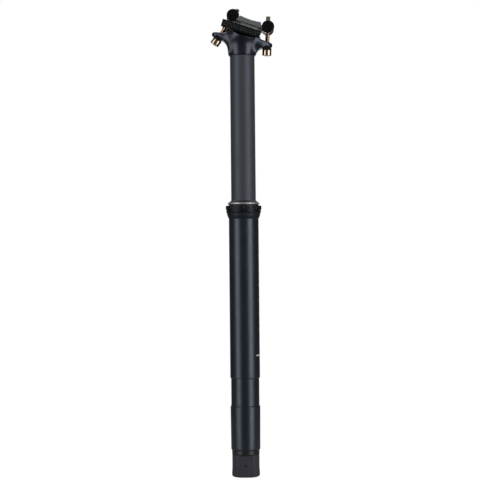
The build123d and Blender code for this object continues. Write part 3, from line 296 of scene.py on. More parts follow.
def finish_surface(
    name, colour, metallic, roughness, mottle=0.12, mottle_size=60, rough_spread=0.06,
    grain=900, grain_depth=0.00001, stretch=(1, 1, 1), edge_wear_and_highlight=0.0, edge_wear_and_highlight_colour=None,
    edge_mask_radius=0.0004, sheen=0.0, specular=0.5, gloss_tint=(1, 1, 1), tip_colour=None,
):
    """A material with mottled colour, uneven roughness, a surface grain and worn edges; on the cradle the edge
    colour is a painted highlight.
    """
    material, tree, shader = shader_of(name)
    place = node(tree, "TexCoord").outputs["Object"]
    along = node(tree, "Mapping", Scale=stretch)
    tree.links.new(place, along.inputs["Vector"])
    along = along.outputs["Vector"]
    base = mixed(
        tree,
        spread(tree, noise(tree, along, mottle_size), 0.0, 1.0),
        shade(colour, 1 - mottle),
        shade(colour, 1 + mottle),
    )
    if tip_colour:
        parts = node(tree, "SeparateXYZ")
        tree.links.new(place, parts.inputs[0])
        up = spread(tree, parts.outputs["Z"], 0.0, 1.0, *BOLT_TIP)
        base = mixed(tree, up, base, tip_colour)
    rough = spread(
        tree, noise(tree, along, mottle_size * FINER_ROUGHNESS, detail=4),
        roughness - rough_spread, roughness + rough_spread,
    )
    # Edge wear is mixed into the colour here; on the cradle this pale edge colour is a painted highlight along the
    # rib edges.
    if edge_wear_and_highlight:
        mask = worn_and_highlit_edges(tree, edge_mask_radius, place, edge_wear_and_highlight)
        base = mixed(tree, mask, base, edge_wear_and_highlight_colour or shade(colour, WEAR_LIGHTER))
    tree.links.new(base, shader.inputs["Base Color"])
    tree.links.new(rough, shader.inputs["Roughness"])
    shader.inputs["Metallic"].default_value = metallic
    shader.inputs["Specular IOR Level"].default_value = specular
    shader.inputs["Specular Tint"].default_value = (*gloss_tint, 1)
    shader.inputs["Sheen Weight"].default_value = sheen
    bump = node(tree, "Bump", Strength=1.0, Distance=grain_depth)
    tree.links.new(noise(tree, along, grain, detail=4), bump.inputs["Height"])
    tree.links.new(bump.outputs["Normal"], shader.inputs["Normal"])
    return material


# Stretch of a pattern round a turned piece and along a drawn one
TURNED = (0.02, 0.02, 1)
DRAWN = (1, 1, 0.04)
BARE_ALLOY = (0.55, 0.56, 0.58)
BLUISH = (0.77, 0.845, 1.0)


def finish_table(paint):
    """The finish of each material slot of the record."""
    return {
        "tube_black": dict(
            colour=paint.tube, metallic=0.0, roughness=0.35, mottle=0.10, mottle_size=35,
            rough_spread=0.03, grain=2600, grain_depth=0.000010, specular=0.70,
            gloss_tint=BLUISH,
        ),
        "collar_black": dict(
            colour=paint.collar, metallic=0.0, roughness=0.40, grain=2200,
            grain_depth=0.000008, edge_wear_and_highlight=0.22, edge_wear_and_highlight_colour=(0.05, 0.053, 0.062),
            specular=0.25, gloss_tint=BLUISH,
        ),
        "ring_grey": dict(
            colour=paint.ring, metallic=0.55, roughness=0.38, stretch=TURNED, grain=5200,
            mottle_size=900, mottle=0.05, grain_depth=0.000003,
        ),
        "wiper_rubber": dict(
            colour=(0.010, 0.010, 0.011), metallic=0.0, roughness=0.55, grain=1500,
            grain_depth=0.00002, sheen=0.05,
        ),
        "bushing_polymer": dict(
            colour=(0.10, 0.092, 0.078), metallic=0.0, roughness=0.5, grain=1300,
            grain_depth=0.00001,
        ),
        "stanchion_grey": dict(
            colour=paint.stanchion, metallic=0.0, roughness=0.50, mottle=0.09,
            mottle_size=40, rough_spread=0.03, stretch=(1, 1, 0.3), grain=3200,
            grain_depth=0.000008, specular=0.64, gloss_tint=BLUISH,
        ),
        "forged_black": dict(
            colour=paint.head, metallic=0.0, roughness=0.30, mottle=0.14, mottle_size=90,
            rough_spread=0.05, grain=1400, grain_depth=0.000012, edge_wear_and_highlight=0.14,
            edge_wear_and_highlight_colour=(0.10, 0.105, 0.12), edge_mask_radius=0.0006, specular=0.6,
            gloss_tint=BLUISH,
        ),
        "key_brass": dict(
            colour=(0.60, 0.43, 0.17), metallic=1.0, roughness=0.34, grain=2500,
            grain_depth=0.000008, stretch=DRAWN,
        ),
        # The pale grey edge colour here is a painted highlight along the rib edges, not wear.
        "cradle_black": dict(
            colour=paint.cradle, metallic=0.0, roughness=0.30, grain=2000,
            grain_depth=0.000004, edge_wear_and_highlight=0.75, edge_wear_and_highlight_colour=(0.30, 0.305, 0.31),
            edge_mask_radius=0.0003, specular=0.3,
        ),
        "clamp_silver": dict(
            colour=paint.clamp, metallic=0.6, roughness=0.27, mottle=0.06, mottle_size=90,
            rough_spread=0.03, grain=2400, grain_depth=0.0000008, edge_wear_and_highlight=0.5,
            edge_wear_and_highlight_colour=(0.60, 0.64, 0.63),
        ),
        "barrel_black": dict(
            colour=(0.0030, 0.0030, 0.0040), metallic=0.0, roughness=0.26, grain=2600,
            grain_depth=0.000005, edge_wear_and_highlight=0.12, edge_wear_and_highlight_colour=(0.05, 0.05, 0.055),
        ),
        "bolt_copper": dict(
            colour=paint.bolts, metallic=1.0, roughness=0.19, mottle=0.10, mottle_size=220,
            rough_spread=0.04, grain=3000, grain_depth=0.000004, edge_wear_and_highlight=0.15,
            edge_wear_and_highlight_colour=(0.74, 0.60, 0.47), edge_mask_radius=0.0003,
            tip_colour=(0.36, 0.34, 0.27),
        ),
        "washer_black": dict(
            colour=(0.006, 0.006, 0.007), metallic=0.25, roughness=0.42, grain=2200,
            grain_depth=0.00001, edge_wear_and_highlight=0.25, edge_wear_and_highlight_colour=(0.06, 0.06, 0.065),
        ),
        "inner_aluminium": dict(
            colour=BARE_ALLOY, metallic=1.0, roughness=0.30, stretch=TURNED, grain=5000,
            mottle_size=800, grain_depth=0.000008, mottle=0.06,
        ),
        "screw_steel": dict(
            colour=(0.45, 0.46, 0.48), metallic=1.0, roughness=0.28, grain=2600,
            grain_depth=0.000006,
        ),
        "seal_rubber": dict(
            colour=(0.012, 0.012, 0.012), metallic=0.0, roughness=0.6, grain=1700,
            grain_depth=0.000015,
        ),
        "spring_steel": dict(
            colour=(0.40, 0.41, 0.43), metallic=1.0, roughness=0.25, grain=3000,
            grain_depth=0.000004,
        ),
        "rod_chrome": dict(
            colour=(0.62, 0.63, 0.66), metallic=1.0, roughness=0.12, rough_spread=0.03,
            stretch=TURNED, grain=6000, mottle_size=900, grain_depth=0.000003, mottle=0.04,
        ),
        "plug_black": dict(
            colour=(0.0085, 0.0095, 0.012), metallic=0.0, roughness=0.36, grain=2400,
            grain_depth=0.00001, edge_wear_and_highlight=0.22, edge_wear_and_highlight_colour=(0.07, 0.075, 0.085),
        ),
        "bumper_rubber": dict(
            colour=(0.020, 0.020, 0.021), metallic=0.0, roughness=0.65, grain=1500,
            grain_depth=0.00002,
        ),
        "housing_black": dict(
            colour=paint.housing, metallic=0.0, roughness=0.47, grain=2100,
            grain_depth=0.000014, edge_wear_and_highlight=0.22, edge_wear_and_highlight_colour=(0.10, 0.105, 0.11),
        ),
        "screw_black": dict(
            colour=(0.009, 0.009, 0.010), metallic=0.3, roughness=0.36, grain=2500,
            grain_depth=0.000008, edge_wear_and_highlight=0.3, edge_wear_and_highlight_colour=(0.09, 0.09, 0.095),
        ),
        "pin_steel": dict(
            colour=(0.060, 0.060, 0.064), metallic=0.6, roughness=0.42, stretch=DRAWN,
            grain=4000, grain_depth=0.000004,
        ),
        "lever_aluminium": dict(
            colour=(0.47, 0.48, 0.50), metallic=1.0, roughness=0.36, grain=1900,
            grain_depth=0.00001, edge_wear_and_highlight=0.3, edge_wear_and_highlight_colour=(0.66, 0.67, 0.69),
        ),
        "barrel_brass": dict(
            colour=(0.62, 0.46, 0.20), metallic=1.0, roughness=0.28, grain=2400,
            grain_depth=0.000006,
        ),
    }


def finish_for(slot_name):
    """The finish of a slot, made once and then shared."""
    made = bpy.data.materials.get("finish_" + slot_name)
    if made is None:
        made = finish_surface(
            "finish_" + slot_name,
            **finish_table(bpy.context.scene.seatpost_paint)[slot_name],
        )
    return made


def dress(*names):
    """Gives CAD nodes the finishes of the slots that they have."""
    for name in names:
        for slot in frame["nodes"][name].material_slots:
            slot.material = finish_for(slot.material.name.split(".")[0])


# Shapes


# Edges that turn more than this stay sharp
SHARP_ANGLE = math.radians(35)


def piece_from(mesh_maker, name, finish, body):
    """Makes an object from a bmesh, smooths its faces and rides it on its body."""
    mesh = bpy.data.meshes.new(name)
    made = bmesh.new()
    mesh_maker(made)
    bmesh.ops.recalc_face_normals(made, faces=made.faces)
    made.to_mesh(mesh)
    made.free()
    piece = bpy.data.objects.new(name, mesh)
    bpy.context.scene.collection.objects.link(piece)
    piece.data.materials.append(finish)
    for face in mesh.polygons:
        face.use_smooth = True
    mesh.set_sharp_from_angle(angle=SHARP_ANGLE)
    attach(piece, body)
    return piece


def bridge(made, first, second):
    """Joins two rings of equally many corners with faces."""
    for index in range(len(first)):
        following = (index + 1) % len(first)
        made.faces.new((first[index], first[following], second[following], second[index]))


def cap(made, ring, centre):
    """Closes a ring with triangles to a point."""
    tip = made.verts.new(centre)
    for index in range(len(ring)):
        made.faces.new((ring[index], ring[(index + 1) % len(ring)], tip))


def printed_bar(made, radius, film, top, height, reach, least_steps=6):
    """One printed mark on the tube: a thin curved bar, closed on every side."""
    half = reach / 2 / radius
    steps = max(least_steps, round(math.degrees(half)))
    loops = []
    for step in range(2 * steps + 1):
        turn = -half + half * step / steps
        loops.append([
            made.verts.new((far * math.cos(turn), far * math.sin(turn), level))
            for far, level in (
                (radius - film, top),
                (radius + film, top),
                (radius + film, top - height),
                (radius - film, top - height),
            )
        ])
    for first, second in zip(loops, loops[1:]):
        bridge(made, first, second)
    made.faces.new(loops[0])
    made.faces.new(loops[-1])


def flat_ring(made, inner, outer, bottom, top, around=128):
    """A closed ring with a rectangular section about the post's axis."""
    loops = [
        [
            made.verts.new((
                far * math.cos(2 * math.pi * index / around),
                far * math.sin(2 * math.pi * index / around),
                level,
            ))
            for index in range(around)
        ]
        for far, level in ((inner, bottom), (outer, bottom), (outer, top), (inner, top))
    ]
    for first, second in zip(loops, loops[1:] + loops[:1]):
        bridge(made, first, second)


def rise(value, start, end):
    """0 below start, 1 above end, and a smooth slope between."""
    share = np.clip((value - start) / (end - start), 0, 1)
    return share * share * (3 - 2 * share)


# The most that the taper widens an ear
EAR_WIDEST = 1.5


def ear_taper(reach, tip, forging):
    """How much wider than a plain ear a straight taper from the body to its tip is.

    The taper is the line that touches both the body's circle and the ear tip's circle.
    """
    body, ear, root = forging.body, forging.ear, forging.root
    lean = math.asin((body - ear) / tip)
    start, end = body * math.sin(lean), tip + ear * math.sin(lean)
    share = np.clip((reach - start) / (end - start), 0, 1)
    straight = (body + (ear - body) * share) * math.cos(lean)
    root_end = math.sqrt((body + root) ** 2 - (ear + root) ** 2)
    root_start = root_end * body / (body + root)
    circle = np.sqrt(np.clip(body**2 - reach**2, 0, None))
    hollow = ear + root - np.sqrt(np.clip(root**2 - (reach - root_end) ** 2, 0, None))
    plain = np.where(reach < root_start, circle, np.where(reach < root_end, hollow, ear))
    wider = np.clip(straight / np.maximum(plain, ear * math.cos(lean)), 1, EAR_WIDEST)
    return np.where((reach > start) & (reach < end), wider, 1)


# The stanchion's socket, and the middle of the cradle's seat, in metres
SOCKET_RADIUS, SOCKET_TOP = 0.0138, 0.188
SEAT_HALF_LENGTH, SEAT_HALF_WIDTH = 0.008, 0.002
# How much less the ears' tips blend, and how far each pass moves a point
BLEND_LESS, BLEND_STEP = 0.85, 0.5
# Zones of the head in metres: where a change begins, and where it is complete
BLEND_HEIGHT = (0.1755, 0.1790)
BLEND_FROM_SEAT = (0.0004, 0.0024)
BLEND_FROM_TROUGH = (0.0054, 0.0070)
BLEND_FROM_BOLT = (0.0040, 0.0060)
BLEND_LESS_REACH = (0.0165, 0.0235)
TAPER_FROM_BOLT = (0.0036, 0.0066)
TAPER_REACH = (0.0135, 0.0175)
TAPER_EAR_HEIGHT = (0.1765, 0.1800)
TAPER_BODY_HEIGHT = (0.1775, 0.1880)
CRADLE_HEIGHT = (0.1905, 0.1950)
CRADLE_REACH = (0.0120, 0.0150)
SWELL_REACH = (0.0095, 0.0185)


def forge_head(mesh, forging):
    """Tapers the ears, swells the shoulders and blends the forms, but not seats and bores."""
    count = len(mesh.vertices)
    spots = np.empty(3 * count)
    mesh.vertices.foreach_get("co", spots)
    spots = spots.reshape(-1, 3)
    across, height = spots[:, 0], spots[:, 2]
    reach = abs(across)
    in_socket = (np.hypot(across, spots[:, 1]) < SOCKET_RADIUS) & (height < SOCKET_TOP)

    tilt = joints["clamp_tilt"]["pos_m"]
    seat = np.hypot(across - tilt[0], height - tilt[2])
    middle = (abs(spots[:, 1]) < SEAT_HALF_WIDTH) & (reach < SEAT_HALF_LENGTH)
    off_seat = abs(seat - seat[middle].min())
    free = rise(height, *BLEND_HEIGHT) * rise(off_seat, *BLEND_FROM_SEAT)
    free *= 1 - BLEND_LESS * rise(reach, *BLEND_LESS_REACH)
    off_bolts = np.ones(count)
    for side in ("rear", "front"):
        lines = bolt_lines(f"{side}_bolt", f"{side}_bolt_swing", f"{side}_barrel_turn")
        pivot, way = np.array(lines["pivot"]), np.array(lines["way"])
        trough = np.hypot(across - pivot[0], height - pivot[2])
        along = (spots - pivot) @ way
        beside = np.linalg.norm(spots - pivot - along[:, None] * way, axis=1)
        free *= rise(trough, *BLEND_FROM_TROUGH) * rise(beside, *BLEND_FROM_BOLT)
        off_bolts *= rise(beside, *TAPER_FROM_BOLT)
    free[in_socket] = 0

    low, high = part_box("head")
    taper = np.where(
        across < 0,
        ear_taper(reach, -low.x - forging.ear, forging),
        ear_taper(reach, high.x - forging.ear, forging),
    )
    on_ears = rise(reach, *TAPER_REACH) * rise(height, *TAPER_EAR_HEIGHT)
    shown = np.maximum(on_ears, rise(height, *TAPER_BODY_HEIGHT)) * off_bolts
    shown *= 1 - rise(height, *CRADLE_HEIGHT) * (1 - rise(reach, *CRADLE_REACH))
    shown[in_socket] = 0
    spots[:, 1] *= 1 + (taper - 1) * shown
    lift = rise(height, forging.swell_from, forging.swell_to)
    spots[:, 1] *= 1 + forging.swell * lift * (1 - rise(reach, *SWELL_REACH))

    ends = np.empty(2 * len(mesh.edges), dtype=int)
    mesh.edges.foreach_get("vertices", ends)
    first, second = ends.reshape(-1, 2).T
    touching = np.bincount(first, minlength=count) + np.bincount(second, minlength=count)
    for _ in range(forging.passes):
        for axis in range(3):
            line = spots[:, axis]
            total = np.bincount(first, line[second], count)
            total += np.bincount(second, line[first], count)
            spots[:, axis] = line + BLEND_STEP * free * (total / touching - line)
    mesh.vertices.foreach_set("co", spots.ravel())
    mesh.update()


def wind_spring(made, low, high, radius, wire, turns, around=12, steps=36):
    """A round wire wound from the low end to the high end, closed at both ends."""
    half = wire / 2
    loops = []
    for step in range(turns * steps + 1):
        share = step / (turns * steps)
        turn = 2 * math.pi * turns * share
        level = low + half + (high - low - wire) * share
        out = Vector((math.cos(turn), math.sin(turn), 0))
        centre = out * (radius - half) + Vector((0, 0, level))
        loops.append([
            made.verts.new(
                centre + out * (half * math.cos(bend)) + Vector((0, 0, half * math.sin(bend)))
            )
            for bend in (2 * math.pi * index / around for index in range(around))
        ])
    for one, other in zip(loops, loops[1:]):
        bridge(made, one, other)
    made.faces.new(loops[0])
    made.faces.new(loops[-1])


def bolt_lines(node_name, swing, turn):
    """The bolt's pivot, its direction, and how far along it the CAD node reaches."""
    pivot = Vector(joints[swing]["pos_m"])
    way = (Vector(joints[turn]["pos_m"]) - pivot).normalized()
    reach, wide = [], []
    for corner in frame["nodes"][node_name].data.vertices:
        along = (corner.co - pivot).dot(way)
        reach.append(along)
        wide.append((along, (corner.co - pivot - way * along).length))
    middle = (min(reach) + max(reach)) / 2
    return {
        "pivot": pivot,
        "way": way,
        "low": min(reach),
        "high": max(reach),
        "head": max(far for along, far in wide if along < middle),
        "shank": max(far for along, far in wide if along > middle),
    }


# Small sizes of a bolt, in metres
EDGE_BREAK = 0.00025
KEY_MOUTH_DEPTH, KEY_MOUTH_EDGE, KEY_POINT = 0.00003, 0.00015, 0.0005
SHANK_NECK, SHANK_SLACK, THREAD_SLACK = 0.0002, 0.00004, 0.00002
TIP_LENGTH, TIP_STEP, TIP_EDGE = 0.0007, 0.0008, 0.0001
# The key socket's mouth against half its width, and the steps of the head's rounding
KEY_MOUTH, ROUND_STEPS = 1.22, 5
# Slices in a turn of thread, turns in which it starts, and its section's slope and flat
THREAD_SLICES, THREAD_START, THREAD_FLANK, THREAD_CREST = 6, 2, 1.35, 0.12


def turn_bolt(made, lines, threads, around=42):
    """A socket bolt: key socket, rounded head, plain shank and a helical thread."""
    way = lines["way"]
    across = Vector((way.z, 0, -way.x))
    beside = way.cross(across)
    sixth = math.radians(60)

    def ring(along, far, sides=None):
        """A ring of corners about the bolt: round, by a function of the angle, or six-sided."""
        corners = []
        for index in range(around):
            angle = 2 * math.pi * index / around
            out = far(angle) if callable(far) else far
            if sides:
                out = sides / 2 / math.cos((angle + sixth / 2) % sixth - sixth / 2)
            corners.append(made.verts.new(
                lines["pivot"] + way * along
                + (across * math.cos(angle) + beside * math.sin(angle)) * out
            ))
        return corners

    low, head, shank = lines["low"], lines["head"], lines["shank"]
    seat = low + threads.head_height
    flats, deep, soft = threads.socket, threads.socket_depth, threads.head_round
    mouth = flats / 2 * KEY_MOUTH
    rings = [
        ring(low + deep, 0, flats),
        ring(low + EDGE_BREAK, 0, flats),
        ring(low + KEY_MOUTH_DEPTH, mouth),
        ring(low, mouth + KEY_MOUTH_EDGE),
        ring(low, head - soft - TIP_EDGE),
    ]
    for step in range(ROUND_STEPS):
        angle = math.radians(90 * step / (ROUND_STEPS - 1))
        rings.append(ring(
            low + soft * (1 - math.cos(angle)), head - soft + soft * math.sin(angle)
        ))
    start = seat + threads.plain
    rings += [
        ring(seat - EDGE_BREAK, head),
        ring(seat, head - EDGE_BREAK),
        ring(seat, shank + EDGE_BREAK),
        ring(seat + SHANK_NECK, shank - SHANK_SLACK),
        ring(start, shank - SHANK_SLACK),
    ]
    count = int((lines["high"] - TIP_LENGTH - start) / threads.pitch * THREAD_SLICES)
    for index in range(1, count):
        along = start + index * threads.pitch / THREAD_SLICES
        lead = min(
            1.0, index / (THREAD_START * THREAD_SLICES), (count - index) / THREAD_SLICES
        )

        def groove(angle, along=along, lead=lead):
            phase = ((along - start) / threads.pitch - angle / (2 * math.pi)) % 1
            flank = (1 - abs(2 * phase - 1)) * THREAD_FLANK - THREAD_CREST
            return shank - THREAD_SLACK - threads.depth * lead * min(1.0, max(0.0, flank))

        rings.append(ring(along, groove))
    rings += [
        ring(start + count * threads.pitch / THREAD_SLICES, shank - TIP_EDGE),
        ring(lines["high"], shank - TIP_STEP),
    ]
    for first, second in zip(rings, rings[1:]):
        bridge(made, first, second)
    cap(made, rings[0], lines["pivot"] + way * (low + deep + KEY_POINT))
    cap(made, rings[-1], lines["pivot"] + way * lines["high"])


# Operators


class SEATPOST_OT_outer_tube(bpy.types.Operator):
    """Finishes the outer tube, its collar cap with its seal, and the base plug"""

    bl_idname = "seatpost.outer_tube"
    bl_label = "Outer tube"

    def execute(self, context):
        dress("outer_tube", "collar_cap", "base_plug", "plug_o_ring", "bottom_out_bumper",
              "upper_bushing")
        seal = context.scene.seatpost_seal
        piece_from(
            lambda made: flat_ring(made, seal.inner, seal.outer, seal.bottom, seal.top),
            "cap_seal_ring", finish_for("seal_rubber"), "outer",
        )
        return {"FINISHED"}


class SEATPOST_OT_wiper(bpy.types.Operator):
    """Finishes the wiper seal and its pale ring"""

    bl_idname = "seatpost.wiper"
    bl_label = "Wiper"

    def execute(self, context):
        dress("wiper_seal", "wiper_ring")
        return {"FINISHED"}


class SEATPOST_OT_stanchion(bpy.types.Operator):
    """Finishes the sliding tube with its bushing and keys"""

    bl_idname = "seatpost.stanchion"
    bl_label = "Stanchion"

    def execute(self, context):
        dress("stanchion_tube", "lower_bushing", "anti_rotation_keys")
        return {"FINISHED"}


class SEATPOST_OT_cartridge(bpy.types.Operator):
    """Finishes the gas and oil cartridge and its piston rod"""

    bl_idname = "seatpost.cartridge"
    bl_label = "Cartridge"

    def execute(self, context):
        dress("cartridge_cylinder", "cylinder_end_cap", "fill_screw", "seal_head",
              "rod_seal", "snap_ring", "floating_piston", "floating_piston_seal",
              "piston_rod", "rod_nut", "main_piston", "piston_band", "release_pin",
              "valve_poppet")
        low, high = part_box("release_spring")
        spring = context.scene.seatpost_spring
        piece = piece_from(
            lambda made: wind_spring(
                made, low.z, high.z, high.x, spring.wire, spring.turns
            ),
            "wound_release_spring", finish_for("spring_steel"), "outer",
        )
        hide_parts("release_spring")
        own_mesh(piece)
        return {"FINISHED"}


class SEATPOST_OT_head(bpy.types.Operator):
    """Finishes the forged head and the two halves of the rail clamp"""

    bl_idname = "seatpost.head"
    bl_label = "Head and rail clamp"

    def execute(self, context):
        dress("cradle", "upper_clamp", "rear_barrel_nut", "front_barrel_nut",
              "rear_half_moon", "front_half_moon")
        forging = context.scene.seatpost_forging
        blank = bpy.data.objects.new("head_blank", frame["nodes"]["head"].data.copy())
        context.scene.collection.objects.link(blank)
        grid = blank.modifiers.new("grid", "REMESH")
        grid.mode = "VOXEL"
        grid.voxel_size = forging.grid
        shaped = blank.evaluated_get(context.evaluated_depsgraph_get())
        mesh = bpy.data.meshes.new_from_object(shaped)
        bpy.data.objects.remove(blank)
        forge_head(mesh, forging)
        mesh.materials.clear()
        mesh.materials.append(finish_for("forged_black"))
        for face in mesh.polygons:
            face.use_smooth = True
        piece = bpy.data.objects.new("forged_head", mesh)
        context.scene.collection.objects.link(piece)
        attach(piece, "post")
        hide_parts("head")
        return {"FINISHED"}


class SEATPOST_OT_bolts(bpy.types.Operator):
    """Makes the two threaded clamp bolts"""

    bl_idname = "seatpost.bolts"
    bl_label = "Clamp bolts"

    def execute(self, context):
        threads = context.scene.seatpost_threads
        for side in ("rear", "front"):
            lines = bolt_lines(f"{side}_bolt", f"{side}_bolt_swing", f"{side}_barrel_turn")
            piece = piece_from(
                lambda made: turn_bolt(made, lines, threads),
                f"{side}_threaded_bolt", finish_for("bolt_copper"),
                f"{side}_clamp_bolt",
            )
            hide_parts(f"{side}_bolt")
        return {"FINISHED"}


class SEATPOST_OT_actuator(bpy.types.Operator):
    """Finishes the foot's housing, its screws and the cable lever inside it"""

    bl_idname = "seatpost.actuator"
    bl_label = "Actuator"

    def execute(self, context):
        dress("actuator_housing", "housing_screws", "lever_pivot_pin", "actuator_lever",
              "cable_barrel", "barrel_set_screw")
        return {"FINISHED"}


class SEATPOST_OT_marks(bpy.types.Operator):
    """Prints the plain height scale and its limit line on the outer tube"""

    bl_idname = "seatpost.marks"
    bl_label = "Printed marks"

    def execute(self, context):
        marks = context.scene.seatpost_marks
        radius = frame["record"]["mounts"][0]["dims"]["r_mm"] * mm
        colours = context.scene.seatpost_paint
        grey, white = (
            finish_surface(
                name, colour, metallic=0.0, roughness=0.42, mottle=0.10, mottle_size=500,
                grain=2500, grain_depth=0.000004,
            )
            for name, colour in (("grey_print", colours.scale), ("white_print", colours.line))
        )

        def scale(made):
            for tick in range(marks.count):
                reach = marks.short_tick if tick % 2 else marks.long_tick
                top = -marks.first_tick - tick * marks.pitch
                printed_bar(made, radius, marks.film, top, marks.tick_height, reach)

        def limit(made):
            printed_bar(
                made, radius, marks.film, -marks.line_drop, marks.line_height,
                marks.line_length,
            )

        piece_from(scale, "height_scale", grey, "outer")
        piece_from(limit, "limit_line", white, "outer")
        return {"FINISHED"}


# Places and sizes of the studio in metres: the floor lies just under the part
FLOOR_GAP, FLOOR_CENTRE, FLOOR_SIZE = 0.0002, (0, 0.14), (0.74, 0.5)
BACKDROP_CENTRE, BACKDROP_SIZE = (0, 2.4, 0.0), (1.7, 1.9)
STRIP_HEIGHT, STRIP_SIZE = 0.22, (0.74, 1.6)
LEFT_PLACE, RIGHT_PLACE = (-1.12, -0.80, STRIP_HEIGHT), (1.07, -0.90, STRIP_HEIGHT)
TOP_PLACE, TOP_SIZE = (0.0, 0.45, 1.25), (1.1, 0.9)
# The floor's own grey under its glow, and the tint of the room's light
FLOOR_GREY, FLOOR_ROUGHNESS, FLOOR_GLOW = (0.16, 0.16, 0.16, 1), 0.9, 0.93
ROOM_COLOUR, WHITE = (0.96, 0.98, 1.0, 1), (1, 1, 1, 1)
# Width of the camera's sensor in millimetres
SENSOR_WIDTH = 36


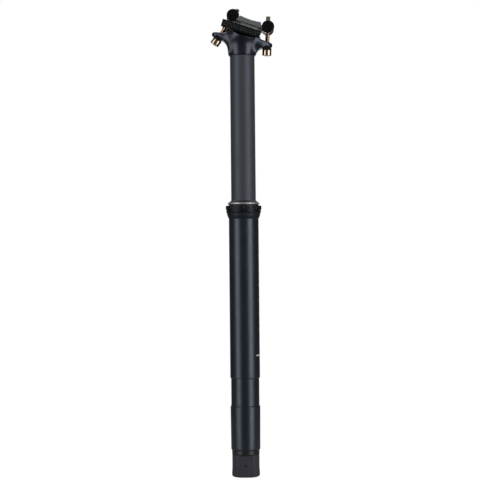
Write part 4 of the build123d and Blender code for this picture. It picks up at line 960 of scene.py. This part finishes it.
class SEATPOST_OT_studio(bpy.types.Operator):
    """Sets the floor, backdrop, lamps and camera"""

    bl_idname = "seatpost.studio"
    bl_label = "Studio"

    def execute(self, context):
        studio = context.scene.seatpost_studio
        self.floor(studio)
        self.backdrop()
        self.room(context, studio)
        strip = studio.strip_power
        self.lamp("left_strip", strip, LEFT_PLACE, STRIP_SIZE, STRIP_HEIGHT)
        self.lamp("right_strip", strip * studio.right_share, RIGHT_PLACE, STRIP_SIZE,
                  STRIP_HEIGHT)
        self.lamp("top_box", studio.top_power, TOP_PLACE, TOP_SIZE, 0)

        camera = bpy.data.objects.new("camera", bpy.data.cameras.new("camera"))
        context.scene.collection.objects.link(camera)
        camera.data.sensor_width = SENSOR_WIDTH
        camera.data.lens = studio.lens
        camera.location = (studio.aside, -studio.distance, studio.height)
        camera.rotation_euler = (math.radians(90), studio.roll, 0)
        context.scene.camera = camera
        context.scene.view_settings.view_transform = "Standard"
        return {"FINISHED"}

    def white_rays(self, tree, path):
        """1 for a ray from the camera or through clear matter, and 0 for any other."""
        seen = node(tree, "Math", operation="MAXIMUM", use_clamp=True)
        tree.links.new(path.outputs["Is Camera Ray"], seen.inputs[0])
        tree.links.new(path.outputs["Is Transmission Ray"], seen.inputs[1])
        return seen.outputs[0]

    def floor(self, studio):
        """A grey floor that keeps the shadow, white to the eye and faint in the gloss."""
        bright, tree, shader = shader_of("pale_floor")
        path = node(tree, "LightPath")
        faint = node(tree, "Math", operation="MULTIPLY")
        faint.inputs[1].default_value = studio.floor_gloss
        tree.links.new(path.outputs["Is Glossy Ray"], faint.inputs[0])
        through = node(tree, "Math", operation="MAXIMUM", use_clamp=True)
        tree.links.new(self.white_rays(tree, path), through.inputs[0])
        tree.links.new(faint.outputs[0], through.inputs[1])
        glow = node(tree, "Math", operation="MULTIPLY")
        glow.inputs[1].default_value = FLOOR_GLOW
        tree.links.new(through.outputs[0], glow.inputs[0])
        tree.links.new(glow.outputs[0], shader.inputs["Emission Strength"])
        shader.inputs["Emission Color"].default_value = WHITE
        shader.inputs["Base Color"].default_value = FLOOR_GREY
        shader.inputs["Roughness"].default_value = FLOOR_ROUGHNESS
        shader.inputs["Specular IOR Level"].default_value = 0.0
        self.slab("floor", bright, (*FLOOR_CENTRE, cad_low.z - FLOOR_GAP), FLOOR_SIZE, 0)

    def backdrop(self):
        """A white sheet behind the post."""
        wall, tree, shader = shader_of("white_backdrop")
        tree.nodes.remove(shader)
        glow = node(tree, "Emission", Color=WHITE, Strength=1.0)
        tree.links.new(glow.outputs[0], tree.nodes["Material Output"].inputs["Surface"])
        self.slab("backdrop", wall, BACKDROP_CENTRE, BACKDROP_SIZE, 90)

    def room(self, context, studio):
        """Dim even light from all sides, which looks white to the eye."""
        world = bpy.data.worlds.new("even_room")
        context.scene.world = world
        world.use_nodes = True
        tree = world.node_tree
        ground = tree.nodes["Background"]
        ground.inputs["Strength"].default_value = studio.sky
        ground.inputs["Color"].default_value = ROOM_COLOUR
        white = node(tree, "Background", Strength=1.0, Color=WHITE)
        choice = node(tree, "MixShader")
        tree.links.new(self.white_rays(tree, node(tree, "LightPath")), choice.inputs[0])
        tree.links.new(ground.outputs[0], choice.inputs[1])
        tree.links.new(white.outputs[0], choice.inputs[2])
        tree.links.new(choice.outputs[0], tree.nodes["World Output"].inputs["Surface"])

    def slab(self, name, material, centre, size, tilt):
        """A flat sheet of the studio, which isn't part of the object."""
        mesh = bpy.data.meshes.new(name)
        wide, deep = size[0] / 2, size[1] / 2
        mesh.from_pydata(
            [(-wide, -deep, 0), (wide, -deep, 0), (wide, deep, 0), (-wide, deep, 0)],
            [], [(0, 1, 2, 3)],
        )
        sheet = bpy.data.objects.new(name, mesh)
        sheet.location = centre
        sheet.rotation_euler = (math.radians(tilt), 0, 0)
        sheet.data.materials.append(material)
        bpy.context.scene.collection.objects.link(sheet)

    def lamp(self, name, power, place, size, aim_height):
        """A rectangular soft lamp that points at the post's axis at the given height."""
        data = bpy.data.lights.new(name, "AREA")
        data.shape = "RECTANGLE"
        data.size, data.size_y = size
        data.energy = power
        made = bpy.data.objects.new(name, data)
        made.location = place
        aim = Vector((0, 0, aim_height)) - Vector(place)
        made.rotation_euler = aim.to_track_quat("-Z", "Y").to_euler()
        bpy.context.scene.collection.objects.link(made)


class SEATPOST_PT_panel(bpy.types.Panel):
    """Lists the seatpost's pieces and settings in the sidebar"""

    bl_idname = "SEATPOST_PT_panel"
    bl_label = "Dropper Seatpost"
    bl_space_type = "VIEW_3D"
    bl_region_type = "UI"
    bl_category = "Seatpost"

    def draw(self, context):
        layout = self.layout
        for operator in operators:
            layout.operator(operator.bl_idname)
        for name in groups:
            settings = getattr(context.scene, name)
            box = layout.box()
            box.label(text=name.removeprefix("seatpost_").capitalize())
            for key in settings.__annotations__:
                box.prop(settings, key)


groups = {
    "seatpost_paint": SeatpostPaint,
    "seatpost_marks": SeatpostMarks,
    "seatpost_seal": SeatpostSeal,
    "seatpost_threads": SeatpostThreads,
    "seatpost_spring": SeatpostSpring,
    "seatpost_forging": SeatpostForging,
    "seatpost_studio": SeatpostStudio,
}
operators = (
    SEATPOST_OT_studio,
    SEATPOST_OT_outer_tube,
    SEATPOST_OT_wiper,
    SEATPOST_OT_stanchion,
    SEATPOST_OT_cartridge,
    SEATPOST_OT_head,
    SEATPOST_OT_bolts,
    SEATPOST_OT_actuator,
    SEATPOST_OT_marks,
)


def register():
    for group in (*groups.values(), *operators, SEATPOST_PT_panel):
        bpy.utils.register_class(group)
    for name, group in groups.items():
        setattr(bpy.types.Scene, name, PointerProperty(type=group))


def unregister():
    for name in groups:
        delattr(bpy.types.Scene, name)
    for group in (SEATPOST_PT_panel, *reversed(operators), *reversed(groups.values())):
        bpy.utils.unregister_class(group)


def main():
    register()
    for operator in operators:
        family, name = operator.bl_idname.split(".")
        getattr(getattr(bpy.ops, family), name)()


if __name__ == "__main__":
    main()
